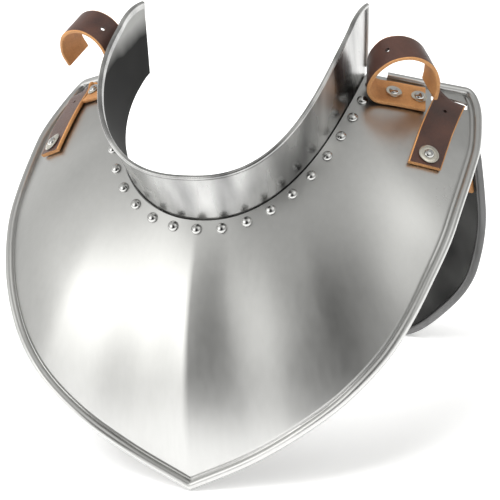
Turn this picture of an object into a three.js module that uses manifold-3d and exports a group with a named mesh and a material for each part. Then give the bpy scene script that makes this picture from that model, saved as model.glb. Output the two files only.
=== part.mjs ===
// Steel gorget: a ridged breast plate with rolled rims, a half collar held by a row of
// dome rivets, a low back plate, and on each shoulder a connecting strap and an arm strap.
// Millimetres. X runs to the wearer's left, Y to the back and Z up. The gorget stands on
// the tip of its front plate and on the straight lower rim of its back plate.

import * as THREE from 'three';
import { mergeVertices } from 'three/addons/utils/BufferGeometryUtils.js';
import Module from 'manifold-3d';

const wasm = await Module();
wasm.setup();
const degrees = THREE.MathUtils.degToRad;

// Front plate, in its own frame: side, drop along the ridge chord, and out from the chest.
const PLATE_LEAN = degrees(25);
const RIDGE_LENGTH = 164.9;
const RIDGE_BOW = 16.2;
const HALF_WIDTH = 151;
const SHOULDER_RISE = 79.5;
const SHOULDER_DEPTH = 118;
const CORNER_ROUND = 8;
const PLATE_WALL = 1.4;
const RIM_RADIUS = 2.9;
const RIM_LIFT = 1.0;

// Neck line and collar.
const NECK_HALF_WIDTH = 75.6;
const NECK_LENGTH = 111;
const NECK_TILT = degrees(32.5);
const NECK_BEND = degrees(9.3);
const NECK_END = degrees(95);
const NECK_SQUARENESS = 2.19;
const BEND_POWER = 4;
const COLLAR_FRONT_HEIGHT = 32.7;
const COLLAR_LEAN = degrees(38);
const COLLAR_HALF_WIDTH = 77.6;
const COLLAR_LENGTH = 115.7;
const COLLAR_TILT = degrees(25.6);
const COLLAR_BEND = degrees(16.4);
const COLLAR_END = degrees(100.2);
const COLLAR_SQUARENESS = 2.5;
const COLLAR_WALL = 1.4;
const COLLAR_BEAD = 1.6;
const KNOB_RADIUS = 1.66;
const FLANGE_WIDTH = 11.5;

// Dome rivets of the collar.
const RIVET_EACH_SIDE = 10;
const RIVET_SPACING = 16.17;
const RIVET_INSET = 6.2;
const RIVET_HEAD = 3.4;
const RIVET_DOME = 2.4;
const SHANK_RADIUS = 1.4;
const TAIL_HEAD = 2.3;
const TAIL_HEIGHT = 0.9;
const DOME_SHOULDER = { radius: 0.8, height: 0.68 };
const HOLE_DEPTH = 4;
const HOLE_HEIGHT = 3;
const COLLAR_HOLE_DEPTH = 7;
const STRAP_HOLE_HEIGHT = 7;

// Back plate.
const BACK_HALF_WIDTH = 141;
const BACK_NECK_HALF_WIDTH = 113;
const BACK_HEIGHT = 156;
const BACK_DEPTH = 160;
const BACK_TUCK = 18;
const BACK_RADIUS = 260;

// Straps.
const STRAP_WIDTH = 21;
const STRAP_WALL = 2.6;
const STRAP_SIDE = 125.5;
const STRAP_START = 35;
const STRAP_RIVET = 41;
const SLOT_RISE = 75;
const SLOT_WIDTH = 4.6;
const SLOT_EXTRA = 3;
const SLOT_DEPTH = 12;
const STRAP_BACK_REACH = 42;
const STRAP_BACK_RIVET = 33;
const OVER_SHARES = [0, 0.25, 0.5, 0.75, 0.94];
const BEHIND_SHARES = [0.3, 0.5, 0.7, 1];
const ARM_STRAP_WIDTH = 21;
const ARM_STRAP_WALL = 2.4;
const ARM_RIVET_SIDE = 96;
const ARM_RIVET_RISE = 78;
const ARM_RIVET_SPACING = 16;
const ARM_TAIL = 20.2;
const ARM_TAIL_MIDDLE = 10.5;
const ARM_TAIL_DROP = 3;
const LOW_LOOP_HEIGHT = 37;
const LOW_LOOP_WIDTH = 38;
const TALL_LOOP_HEIGHT = 46.8;
const TALL_LOOP_WIDTH = 44.2;
const LOOP_TWIST = degrees(22);
const HOLE_RADIUS = 1.5;
const HOLE_STATIONS = [5, 8, 11];
const PUNCH = 4;
const WASHER_RADIUS = 6.4;
const SMALL_WASHER_RADIUS = 5;
const WASHER_WALL = 1;
const STRAP_HEAD = 3.2;
const STRAP_DOME = 2;

const GAP = 0.3;
const SEAM = 0.45;
const STRAP_GAP = 0.65;
const TAIL_GAP = 0.9;

// The floor takes this much off the tip and off the back plate's lower rim.
const TIP_CUT = 0.4;
const RIM_CUT = 0.7;
const NECK_HEIGHT = RIDGE_LENGTH * Math.cos(PLATE_LEAN) - TIP_CUT;

// Fineness of the bodies: stations along half a plate, shares of v across it, and sides.
const HALF_STATIONS = 12;
const BACK_HALF_STATIONS = 10;
const BACK_EXTRA = [0.965, 0.985];
const FRONT_SHARES = [0.32, 0.56, 0.8, 1];
const BACK_SHARES = [0, 0.35, 0.7, 1];
const RIM_END_SHARES = [0.45, 0.75];
const COLLAR_END_SHARES = [0.12, 0.5, 1];
const BEAD_SIDES = 6;
const RIVET_SIDES = 7;
const WASHER_SIDES = 8;
const HOLE_SIDES = 6;
const LINE_SAMPLES = 400;
const FINE_STEP = 1e-3;
const SEARCH_START = { t: 0.8, v: 0.5 };
const SEARCH_ROUNDS = 30;

// Outline of one half of the front plate from the tip to the shoulder corner: side as a share
// of HALF_WIDTH, drop of RIDGE_LENGTH, rise of SHOULDER_RISE, back of SHOULDER_DEPTH, and the
// swell of the surface between neck and outline as a share of RIDGE_BOW.
const FRONT_ROWS = [
  { side: 0, drop: 1, rise: 0, back: 0, swell: 1 },
  { side: 0.259, drop: 0.892, rise: 0, back: -0.01, swell: 0.72 },
  { side: 0.482, drop: 0.77, rise: 0, back: -0.036, swell: 0.64 },
  { side: 0.677, drop: 0.627, rise: 0, back: -0.013, swell: 0.66 },
  { side: 0.832, drop: 0.447, rise: 0, back: 0.07, swell: 0.68 },
  { side: 0.93, drop: 0.237, rise: 0, back: 0.188, swell: 0.66 },
  { side: 0.988, drop: 0.01, rise: 0, back: 0.384, swell: 0.6 },
  { side: 1, drop: 0, rise: 0.49, back: 0.678, swell: 0.46 },
  { side: 0.93, drop: 0, rise: 1, back: 1, swell: 0.3 },
];

// Half of the back plate from its middle to the shoulder end: the neck edge as shares of
// BACK_NECK_HALF_WIDTH and BACK_HEIGHT, the outer edge as shares of BACK_HALF_WIDTH and
// BACK_HEIGHT.
const BACK_ROWS = [
  { neckSide: 0, neckUp: 0.45, edgeSide: 0, edgeUp: 0 },
  { neckSide: 0.44, neckUp: 0.46, edgeSide: 0.25, edgeUp: 0 },
  { neckSide: 0.74, neckUp: 0.51, edgeSide: 0.47, edgeUp: 0 },
  { neckSide: 0.94, neckUp: 0.6, edgeSide: 0.73, edgeUp: 0.15 },
  { neckSide: 0.995, neckUp: 0.76, edgeSide: 0.91, edgeUp: 0.36 },
  { neckSide: 1, neckUp: 0.9, edgeSide: 0.99, edgeUp: 0.64 },
  { neckSide: 1, neckUp: 1, edgeSide: 1, edgeUp: 0.94 },
];

// Loops of the arm straps from the neck end of the base round to the free end: along as a share
// of the loop's width from the inner rivet, up of its height, back of ARM_STRAP_WIDTH and twist
// of LOOP_TWIST. The left strap closes its loop, the right one stands taller and open.
const LOW_LOOP_ROWS = [
  { along: -0.24, up: 0, back: 0, twist: 0 },
  { along: -0.36, up: 0.06, back: 0, twist: 0 },
  { along: -0.45, up: 0.2, back: 0, twist: 0 },
  { along: -0.47, up: 0.4, back: 0, twist: 0.2 },
  { along: -0.42, up: 0.64, back: 0, twist: 0.5 },
  { along: -0.27, up: 0.88, back: 0, twist: 0.8 },
  { along: -0.05, up: 1, back: 0, twist: 1 },
  { along: 0.18, up: 0.99, back: 0, twist: 1 },
  { along: 0.37, up: 0.87, back: 0, twist: 1 },
  { along: 0.49, up: 0.67, back: 0, twist: 1 },
  { along: 0.54, up: 0.44, back: 0, twist: 1 },
  { along: 0.55, up: 0.24, back: 0, twist: 1 },
];
const TALL_LOOP_ROWS = [
  { along: -0.2, up: 0, back: 0, twist: 0 },
  { along: -0.32, up: 0.07, back: 0, twist: 0 },
  { along: -0.43, up: 0.2, back: 0.08, twist: 0 },
  { along: -0.5, up: 0.4, back: 0.2, twist: 0 },
  { along: -0.54, up: 0.62, back: 0.32, twist: 0 },
  { along: -0.48, up: 0.81, back: 0.38, twist: 0 },
  { along: -0.34, up: 0.95, back: 0.38, twist: 0 },
  { along: -0.14, up: 1, back: 0.38, twist: 0 },
  { along: 0.08, up: 0.97, back: 0.38, twist: 0 },
  { along: 0.26, up: 0.86, back: 0.38, twist: 0 },
  { along: 0.4, up: 0.69, back: 0.38, twist: 0 },
  { along: 0.44, up: 0.5, back: 0.38, twist: 0 },
];

// Connecting strap where it turns down through the slot: turn from the shoulder's face to the
// back plate's, depth below the outer face in strap walls, and twist to the back plate's width.
const THROUGH_ROWS = [
  { turn: 0.35, down: -0.2, twist: 0 },
  { turn: 0.66, down: 0.55, twist: 0 },
  { turn: 0.8, down: 2.2, twist: 0.15 },
];

// Value of a table's column at share t of its rows, on a curve that never overshoots a row.
function column(rows, name, t) {
  const last = rows.length - 1;
  const place = THREE.MathUtils.clamp(t, 0, 1) * last;
  const i = Math.min(Math.floor(place), last - 1);
  const step = (k) => rows[k + 1][name] - rows[k][name];
  const slope = (k) => {
    if (k === 0) return step(0);
    if (k === last) return step(last - 1);
    const before = step(k - 1);
    const after = step(k);
    return before * after > 0 ? (2 * before * after) / (before + after) : 0;
  };
  const s = place - i;
  const rise = step(i);
  const from = slope(i);
  const to = slope(i + 1);
  return rows[i][name] + from * s + (3 * rise - 2 * from - to) * s ** 2 + (from + to - 2 * rise) * s ** 3;
}

// Point of the front plate's own frame in the standing gorget.
function place(side, drop, out) {
  const sin = Math.sin(PLATE_LEAN);
  const cos = Math.cos(PLATE_LEAN);
  return new THREE.Vector3(side, -sin * drop - cos * out, NECK_HEIGHT - cos * drop + sin * out);
}
const CHEST_OUT = place(0, 0, 1).sub(place(0, 0, 0));

// Half of a rounded, slightly squared line that starts at the front and runs back and up.
class OpeningLine extends THREE.Curve {
  constructor(start, halfWidth, length, tilt, bend, end, squareness) {
    super();
    Object.assign(this, { start, halfWidth, length, tilt, bend, end, squareness });
    this.arcLengthDivisions = LINE_SAMPLES;
  }

  getPoint(u) {
    const turn = u * this.end;
    const power = 2 / this.squareness;
    const side = this.halfWidth * Math.sin(turn) ** power;
    const cosine = Math.cos(turn);
    const run = this.length * (1 - Math.sign(cosine) * Math.abs(cosine) ** power);
    const tilt = this.tilt + this.bend * u ** BEND_POWER;
    return place(side, this.start.x - run * Math.cos(tilt), this.start.y - run * Math.sin(tilt));
  }
}
const NECK_LINE = new OpeningLine(
  new THREE.Vector2(0, 0), NECK_HALF_WIDTH, NECK_LENGTH, NECK_TILT, NECK_BEND, NECK_END, NECK_SQUARENESS,
);
const COLLAR_START = new THREE.Vector2(
  -COLLAR_FRONT_HEIGHT * Math.cos(COLLAR_LEAN), COLLAR_FRONT_HEIGHT * Math.sin(COLLAR_LEAN),
);
const COLLAR_LINE = new OpeningLine(
  COLLAR_START, COLLAR_HALF_WIDTH, COLLAR_LENGTH, COLLAR_TILT, COLLAR_BEND, COLLAR_END, COLLAR_SQUARENESS,
);

function mirrored(point, t) {
  return t < 0 ? point.setX(-point.x) : point;
}
function neckPoint(t) {
  return mirrored(NECK_LINE.getPointAt(Math.min(Math.abs(t), 1)), t);
}
function collarPoint(t) {
  return mirrored(COLLAR_LINE.getPointAt(Math.min(Math.abs(t), 1)), t);
}
function outlinePoint(t) {
  const share = Math.abs(t);
  const rise = column(FRONT_ROWS, 'rise', share) * SHOULDER_RISE;
  const drop = column(FRONT_ROWS, 'drop', share) * RIDGE_LENGTH - rise;
  const side = column(FRONT_ROWS, 'side', share) * HALF_WIDTH;
  return mirrored(place(side, drop, -column(FRONT_ROWS, 'back', share) * SHOULDER_DEPTH), t);
}

// Outer face of the front plate: t runs from shoulder to shoulder, v from neck to outline.
function frontPoint(t, v) {
  const swell = 4 * v * (1 - v) * column(FRONT_ROWS, 'swell', Math.abs(t)) * RIDGE_BOW;
  return neckPoint(t).lerp(outlinePoint(t), v).addScaledVector(CHEST_OUT, swell);
}

// Outer face of the back plate in the same way, from its neck edge to its outer edge.
function backPoint(t, v) {
  const share = Math.abs(t);
  const mix = (neck, edge) => THREE.MathUtils.lerp(neck, edge, v);
  const neckSide = column(BACK_ROWS, 'neckSide', share) * BACK_NECK_HALF_WIDTH;
  const edgeSide = column(BACK_ROWS, 'edgeSide', share) * BACK_HALF_WIDTH;
  const up = mix(column(BACK_ROWS, 'neckUp', share), column(BACK_ROWS, 'edgeUp', share));
  const side = mix(neckSide, edgeSide) * Math.sign(t);
  return new THREE.Vector3(side, backDepth(side, up), up * BACK_HEIGHT - RIM_CUT);
}
function backDepth(side, up) {
  return BACK_DEPTH - BACK_TUCK * (1 - up) ** 2 - side ** 2 / (2 * BACK_RADIUS);
}

function surfaceNormal(surface, t, v) {
  const low = Math.max(v - FINE_STEP, 0);
  const across = surface(t + FINE_STEP, v).sub(surface(t - FINE_STEP, v));
  const along = surface(t, low + 2 * FINE_STEP).sub(surface(t, low));
  return across.cross(along).normalize();
}
function edgeNormal(surface, t, v) {
  const inside = THREE.MathUtils.clamp(t, -1 + FINE_STEP, 1 - FINE_STEP);
  return surfaceNormal(surface, inside, v);
}
const frontNormal = (t, v) => edgeNormal(frontPoint, t, v).negate();
const backNormal = (t, v) => edgeNormal(backPoint, t, v);

// Closed body through a row of loops with the same even number of points.
function sweep(loops) {
  const count = loops[0].length;
  const positions = loops.flat().flatMap((p) => [p.x, p.y, p.z]);
  const index = [];
  const quad = (a, b, c, d) => index.push(a, b, c, a, c, d);
  for (let i = 0; i + 1 < loops.length; i += 1) {
    for (let j = 0; j < count; j += 1) {
      const next = (j + 1) % count;
      quad(i * count + j, i * count + next, (i + 1) * count + next, (i + 1) * count + j);
    }
  }
  const top = (loops.length - 1) * count;
  for (let j = 0; j + 1 < count / 2; j += 1) {
    quad(j + 1, j, count - 1 - j, count - 2 - j);
    quad(top + j, top + j + 1, top + count - 2 - j, top + count - 1 - j);
  }
  const geometry = new THREE.BufferGeometry();
  geometry.setAttribute('position', new THREE.Float32BufferAttribute(positions, 3));
  geometry.setIndex(index);
  return facingOut(withoutSlivers(geometry));
}

function withoutSlivers(geometry) {
  const merged = mergeVertices(geometry, FINE_STEP);
  const kept = [];
  const index = merged.getIndex().array;
  for (let i = 0; i < index.length; i += 3) {
    const [a, b, c] = index.slice(i, i + 3);
    if (a !== b && b !== c && c !== a) kept.push(a, b, c);
  }
  merged.setIndex(kept);
  return merged;
}

function facingOut(geometry) {
  const spot = geometry.getAttribute('position');
  const index = geometry.getIndex().array;
  const corner = (k) => new THREE.Vector3().fromBufferAttribute(spot, index[k]);
  let volume = 0;
  for (let i = 0; i < index.length; i += 3) volume += corner(i).dot(corner(i + 1).cross(corner(i + 2)));
  if (volume < 0) geometry.setIndex(Array.from(index).reverse());
  return geometry;
}

function toSolid(geometry) {
  const bare = geometry.clone();
  for (const name of Object.keys(bare.attributes)) if (name !== 'position') bare.deleteAttribute(name);
  const closed = mergeVertices(bare, FINE_STEP);
  return new wasm.Manifold(new wasm.Mesh({
    numProp: 3,
    vertProperties: new Float32Array(closed.getAttribute('position').array),
    triVerts: new Uint32Array(closed.getIndex().array),
  }));
}

function toGeometry(solid) {
  const mesh = solid.simplify(FINE_STEP).getMesh();
  const geometry = new THREE.BufferGeometry();
  geometry.setAttribute('position', new THREE.BufferAttribute(mesh.vertProperties, 3));
  geometry.setIndex(new THREE.BufferAttribute(mesh.triVerts, 1));
  return geometry;
}
const join = (shapes) => shapes.map(toSolid).reduce((whole, shape) => whole.add(shape));
const cut = (body, tools) => tools.map(toSolid).reduce((rest, tool) => rest.subtract(tool), body);

// Round bead along a path, each section square to it.
function bead(path, radius) {
  const loops = path.map((point, i) => {
    const ahead = path[Math.min(i + 1, path.length - 1)].clone().sub(path[Math.max(i - 1, 0)]).normalize();
    const first = CHEST_OUT.clone().cross(ahead).normalize();
    const second = ahead.clone().cross(first);
    return Array.from({ length: BEAD_SIDES }, (_, k) => {
      const turn = (2 * Math.PI * (k + 0.5)) / BEAD_SIDES;
      return point.clone().addScaledVector(first, radius * Math.cos(turn))
        .addScaledVector(second, radius * Math.sin(turn));
    });
  });
  return sweep(loops);
}

// Stations from shoulder to shoulder, closer together where the corners turn.
function stations(count, extra) {
  const half = Array.from({ length: count }, (_, i) => i / count).concat(extra, 1);
  return half.slice(1).reverse().map((t) => -t).concat(half);
}
const CORNER_SHARE = 0.05;
const CORNER_TURNS = [0.25, 0.5, 0.75].map((s) => 1 - CORNER_SHARE * (1 - Math.sin(s * Math.PI / 2)));
const FRONT_STATIONS = stations(HALF_STATIONS, CORNER_TURNS);
const acrossLength = (surface, t) => surface(t, 0).distanceTo(surface(t, 1));

// Last share of v at a station: the rim's radius inside the outline, and drawn in further near
// the shoulder to round the corner.
function edgeShare(surface, t) {
  const s = THREE.MathUtils.clamp((Math.abs(t) - 1 + CORNER_SHARE) / CORNER_SHARE, 0, 1);
  return 1 - (RIM_RADIUS + CORNER_ROUND * (1 - Math.sqrt(1 - s ** 2))) / acrossLength(surface, t);
}

function sheet(surface, normal, wall, where, shares) {
  return sweep(where.map((t) => {
    const outer = shares(t).map((v) => surface(t, v));
    const inner = shares(t).map((v) => surface(t, v).addScaledVector(normal(t, v), -wall));
    return outer.concat(inner.reverse());
  }));
}

// Rim bead along the outline and in along both shoulder edges.
function rimPath(surface, normal, where, start, lift) {
  const at = (t, v) => surface(t, v).addScaledVector(normal(t, v), lift);
  const ends = [start, ...RIM_END_SHARES].map((share) => share * edgeShare(surface, 1));
  const left = ends.map((v) => at(-1, v));
  const right = ends.map((v) => at(1, v)).reverse();
  return left.concat(where.map((t) => at(t, edgeShare(surface, t))), right);
}

// Place and direction on the front plate for a side and a drop in the plate's own frame.
function onFront(side, drop) {
  let { t, v } = SEARCH_START;
  const down = new THREE.Vector3(0, -Math.sin(PLATE_LEAN), -Math.cos(PLATE_LEAN));
  const miss = (a, b) => {
    const p = frontPoint(a, b);
    return [p.x - side, p.sub(place(0, 0, 0)).dot(down) - drop];
  };
  for (let round = 0; round < SEARCH_ROUNDS; round += 1) {
    const [x0, d0] = miss(t, v);
    const [xt, dt] = miss(t + FINE_STEP, v);
    const [xv, dv] = miss(t, v + FINE_STEP);
    const [a, b] = [(xt - x0) / FINE_STEP, (xv - x0) / FINE_STEP];
    const [c, d] = [(dt - d0) / FINE_STEP, (dv - d0) / FINE_STEP];
    const size = a * d - b * c;
    t = THREE.MathUtils.clamp(t - (d * x0 - b * d0) / size, 0, 1 - FINE_STEP);
    v = THREE.MathUtils.clamp(v - (a * d0 - c * x0) / size, 0, 1);
  }
  return { point: frontPoint(t, v), normal: frontNormal(t, v) };
}

// Post from one height to another along a seat's normal.
function post(seat, from, to, radius) {
  const geometry = new THREE.CylinderGeometry(radius, radius, to - from, HOLE_SIDES);
  return aim(geometry, seat, (from + to) / 2);
}
function aim(geometry, seat, height) {
  const turn = new THREE.Quaternion().setFromUnitVectors(new THREE.Vector3(0, 1, 0), seat.normal);
  return geometry.applyQuaternion(turn).translate(...seat.point.clone().addScaledVector(seat.normal, height));
}

// Rivet: a domed head above the sheet, a shank through the stack and a flat tail head.
function rivet(seat, head, dome, lift, stack) {
  const tail = -stack - TAIL_GAP;
  const profile = [
    [0, tail - TAIL_HEIGHT], [TAIL_HEAD, tail - TAIL_HEIGHT], [TAIL_HEAD, tail],
    [SHANK_RADIUS, tail], [SHANK_RADIUS, lift], [head, lift],
    [head * DOME_SHOULDER.radius, lift + dome * DOME_SHOULDER.height], [0, lift + dome],
  ].map(([r, y]) => new THREE.Vector2(r, y));
  return withoutSlivers(bareLathe(profile, RIVET_SIDES).applyQuaternion(
    new THREE.Quaternion().setFromUnitVectors(new THREE.Vector3(0, 1, 0), seat.normal),
  ).translate(...seat.point));
}
function bareLathe(profile, sides) {
  const geometry = new THREE.LatheGeometry(profile, sides);
  geometry.deleteAttribute('normal');
  geometry.deleteAttribute('uv');
  return geometry;
}
const shankHole = (seat, depth, height) => post(seat, -depth, height, SHANK_RADIUS + GAP);

// Collar rivets, evenly spaced along a line at RIVET_INSET out from the neck line.
function collarSeats() {
  const line = Array.from({ length: LINE_SAMPLES + 1 }, (_, i) => {
    const t = Math.min(i / LINE_SAMPLES, 1 - FINE_STEP);
    const out = frontPoint(t, FINE_STEP).sub(frontPoint(t, 0)).divideScalar(FINE_STEP);
    const along = neckPoint(t + FINE_STEP).sub(neckPoint(t)).normalize();
    out.addScaledVector(along, -out.dot(along));
    const v = RIVET_INSET / out.length();
    return { t, v, point: frontPoint(t, v) };
  });
  const seats = [];
  let travelled = 0;
  for (let i = 0; i < LINE_SAMPLES && seats.length <= RIVET_EACH_SIDE; i += 1) {
    if (travelled >= seats.length * RIVET_SPACING) seats.push(line[i]);
    travelled += line[i].point.distanceTo(line[i + 1].point);
  }
  const seat = ({ t, v }) => ({ point: frontPoint(t, v), normal: frontNormal(t, v) });
  const right = seats.slice(1).map(seat);
  const left = right.map(mirrorSeat);
  return left.reverse().concat(seat({ t: 0, v: seats[0].v }), right);
}
function mirrorSeat({ point, normal }) {
  const flip = new THREE.Vector3(-1, 1, 1);
  return { point: point.clone().multiply(flip), normal: normal.clone().multiply(flip) };
}

// Strap along frames of a centre point, a face normal and a width direction.
function strap(frames, width, wall) {
  return sweep(frames.map(({ point, normal, across }) => {
    const corner = (side, face) => point.clone()
      .addScaledVector(across, side * width / 2).addScaledVector(normal, face * wall / 2);
    return [corner(-1, 1), corner(1, 1), corner(1, -1), corner(-1, -1)];
  }));
}

const slotSeat = onFront(STRAP_SIDE, -SLOT_RISE);
const strapSeat = onFront(STRAP_SIDE, -STRAP_RIVET);
const armInner = onFront(ARM_RIVET_SIDE, -ARM_RIVET_RISE);
const shoulderRun = outlinePoint(1).sub(neckPoint(1)).normalize();
function edgeAlong({ normal }) {
  return shoulderRun.clone().addScaledVector(normal, -shoulderRun.dot(normal)).normalize();
}

// Frames of the connecting strap: over the shoulder, down through the slot, down the back plate.
function connectingFrames() {
  const lift = STRAP_WALL / 2 + STRAP_GAP;
  const over = OVER_SHARES.map((share) => {
    const seat = onFront(STRAP_SIDE, -THREE.MathUtils.lerp(STRAP_START, SLOT_RISE, share));
    const across = edgeAlong(seat);
    return { point: seat.point.addScaledVector(seat.normal, lift), normal: seat.normal, across };
  });
  const through = THROUGH_ROWS.map(({ turn, down, twist }) => {
    const back = backSeat(0);
    const normal = slotSeat.normal.clone().lerp(back.normal, turn).normalize();
    const across = edgeAlong(slotSeat).lerp(back.across, twist);
    across.addScaledVector(normal, -across.dot(normal)).normalize();
    const point = slotSeat.point.clone().addScaledVector(slotSeat.normal, -down * STRAP_WALL);
    return { point, normal, across };
  });
  const behind = BEHIND_SHARES.map((share) => backSeat(share * STRAP_BACK_REACH));
  return over.concat(through, behind);
}

// Seat on the inner face of the back plate's arm, so far below its top.
function backSeat(down) {
  const height = BACK_HEIGHT - RIM_CUT - down;
  const at = (side) => new THREE.Vector3(side, backDepth(side, 1 - down / BACK_HEIGHT), height);
  const across = at(STRAP_SIDE + 1).sub(at(STRAP_SIDE)).normalize();
  const normal = new THREE.Vector3(0, 0, 1).cross(across).normalize();
  return { point: at(STRAP_SIDE).addScaledVector(normal, -BACK_INSIDE), normal, across };
}
const BACK_INSIDE = PLATE_WALL + STRAP_GAP + STRAP_WALL / 2;

// Frames of an arm strap: flat base on the shoulder, then the open loop.
function armFrames({ rows: table, width, height }) {
  const out = armInner.normal;
  const along = edgeAlong(armInner);
  const across = out.clone().cross(along).normalize();
  const base = armInner.point.clone().addScaledVector(out, ARM_STRAP_WALL / 2 + STRAP_GAP);
  const outer = onFront(ARM_RIVET_SIDE + ARM_RIVET_SPACING, ARM_TAIL_DROP - ARM_RIVET_RISE);
  const slope = outer.point.clone().sub(armInner.point).normalize();
  const flat = [ARM_TAIL, ARM_TAIL_MIDDLE, 0].map((far) => ({
    point: base.clone().addScaledVector(slope, far), normal: out.clone().negate(), across,
  }));
  const rows = table.map((row) => ({
    along: row.along * width,
    up: row.up * height,
    back: row.back * ARM_STRAP_WIDTH,
    twist: row.twist * LOOP_TWIST,
  }));
  const loop = rows.map((row, i) => {
    const before = rows[Math.max(i - 1, 0)];
    const after = rows[Math.min(i + 1, rows.length - 1)];
    const ahead = along.clone().multiplyScalar(after.along - before.along);
    ahead.addScaledVector(out, after.up - before.up);
    const turned = across.clone().multiplyScalar(Math.cos(row.twist));
    turned.addScaledVector(along, -Math.sin(row.twist));
    const normal = ahead.cross(turned).normalize();
    const point = base.clone().addScaledVector(along, row.along).addScaledVector(out, row.up);
    return { point: point.addScaledVector(across, row.back), normal, across: turned };
  });
  return flat.concat(loop);
}

const STEEL = new THREE.MeshStandardMaterial({ color: 0xb9bbba, roughness: 0.32, metalness: 1 });
const LEATHER = new THREE.MeshStandardMaterial({ color: 0x4a3028, roughness: 0.6, metalness: 0 });
const PALE_STEEL = new THREE.MeshStandardMaterial({ color: 0xcfcbbd, roughness: 0.35, metalness: 1 });

const gorget = new THREE.Group();
gorget.name = 'gorget';
function addPiece(name, geometry, material) {
  const mesh = new THREE.Mesh(geometry, material);
  mesh.name = name;
  gorget.add(mesh);
}
const LOW_LOOP = { rows: LOW_LOOP_ROWS, width: LOW_LOOP_WIDTH, height: LOW_LOOP_HEIGHT };
const TALL_LOOP = { rows: TALL_LOOP_ROWS, width: TALL_LOOP_WIDTH, height: TALL_LOOP_HEIGHT };
const SIDES = [{ name: 'left', hand: 1, loop: LOW_LOOP }, { name: 'right', hand: -1, loop: TALL_LOOP }];
const handed = (geometry, hand) => (hand > 0 ? geometry : facingOut(geometry.scale(-1, 1, 1)));
const handedSeat = (seat, hand) => (hand > 0 ? seat : mirrorSeat(seat));

// Seats of the strap rivets on the left shoulder, with what each holds.
const armBase = armFrames(LOW_LOOP);
const armSlope = armBase[0].point.clone().sub(armBase[1].point).normalize();
const armOuterSeat = { point: armBase[1].point.clone(), normal: armInner.normal };
armOuterSeat.point.addScaledVector(armInner.normal, -ARM_STRAP_WALL / 2 - STRAP_GAP)
  .addScaledVector(armSlope, ARM_RIVET_SPACING - ARM_TAIL_MIDDLE);
const backRivet = backSeat(STRAP_BACK_RIVET);
const backRivetSeat = {
  point: backRivet.point.clone().addScaledVector(backRivet.normal, -STRAP_WALL / 2 - GAP),
  normal: backRivet.normal.clone().negate(),
};
const backRivetBase = {
  point: backRivet.point.clone().addScaledVector(backRivet.normal, BACK_INSIDE),
  normal: backRivet.normal.clone().negate(),
};
const FRONT_FASTENERS = [
  { name: 'strap', seat: strapSeat, washer: WASHER_RADIUS, leather: STRAP_WALL },
  { name: 'arm_strap_inner', seat: armInner, washer: SMALL_WASHER_RADIUS, leather: ARM_STRAP_WALL },
  { name: 'arm_strap_outer', seat: armOuterSeat, washer: SMALL_WASHER_RADIUS, leather: ARM_STRAP_WALL },
];
function floor() {
  const wide = 4 * HALF_WIDTH;
  return new THREE.BoxGeometry(wide, wide, HALF_WIDTH).translate(0, 0, -HALF_WIDTH / 2);
}

function frontPlate(seats) {
  const shares = (t) => {
    const reach = acrossLength(frontPoint, t);
    const last = edgeShare(frontPoint, t);
    return [SEAM / reach, FLANGE_WIDTH / reach].concat(FRONT_SHARES.map((v) => v * last));
  };
  const wall = sheet(frontPoint, frontNormal, PLATE_WALL, FRONT_STATIONS, shares);
  const clearOfFlange = (FLANGE_WIDTH + 2 * RIM_RADIUS) / acrossLength(frontPoint, 1);
  const rim = bead(rimPath(frontPoint, frontNormal, FRONT_STATIONS, clearOfFlange, RIM_LIFT), RIM_RADIUS);
  const slot = new THREE.BoxGeometry(STRAP_WIDTH + SLOT_EXTRA, SLOT_DEPTH, SLOT_WIDTH + STRAP_WALL);
  const slots = SIDES.map(({ hand }) => handed(frameBox(slot.clone(), slotSeat, edgeAlong(slotSeat)), hand));
  const strapSeats = SIDES.flatMap(({ hand }) => FRONT_FASTENERS.map(({ seat }) => handedSeat(seat, hand)));
  const holes = seats.concat(strapSeats).map((seat) => shankHole(seat, HOLE_DEPTH, HOLE_HEIGHT));
  return toGeometry(cut(join([wall, rim]), slots.concat(holes, strapRooms(), floor())));
}
// Room of GAP around each connecting strap.
function strapRooms() {
  const room = () => strap(connectingFrames(), STRAP_WIDTH + 2 * GAP, STRAP_WALL + 2 * GAP);
  return SIDES.map(({ hand }) => handed(room(), hand));
}
function frameBox(geometry, seat, along) {
  const deep = along.clone().cross(seat.normal);
  const turn = new THREE.Matrix4().makeBasis(along, seat.normal, deep);
  return geometry.applyMatrix4(turn).translate(...seat.point);
}

function backPlate() {
  const where = stations(BACK_HALF_STATIONS, BACK_EXTRA);
  const shares = (t) => BACK_SHARES.map((v) => v * edgeShare(backPoint, t));
  const wall = sheet(backPoint, backNormal, PLATE_WALL, where, shares);
  const path = where.map((t) => backPoint(t, edgeShare(backPoint, t)));
  const neck = where.map((t) => backPoint(t, 0).addScaledVector(backNormal(t, 0), -PLATE_WALL / 2));
  const holes = SIDES.map(({ hand }) => shankHole(handedSeat(backRivetBase, hand), HOLE_DEPTH, HOLE_DEPTH));
  const body = join([wall, bead(path, RIM_RADIUS), bead(neck, COLLAR_BEAD)]);
  return toGeometry(cut(body, holes.concat(strapRooms(), floor())));
}

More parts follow.
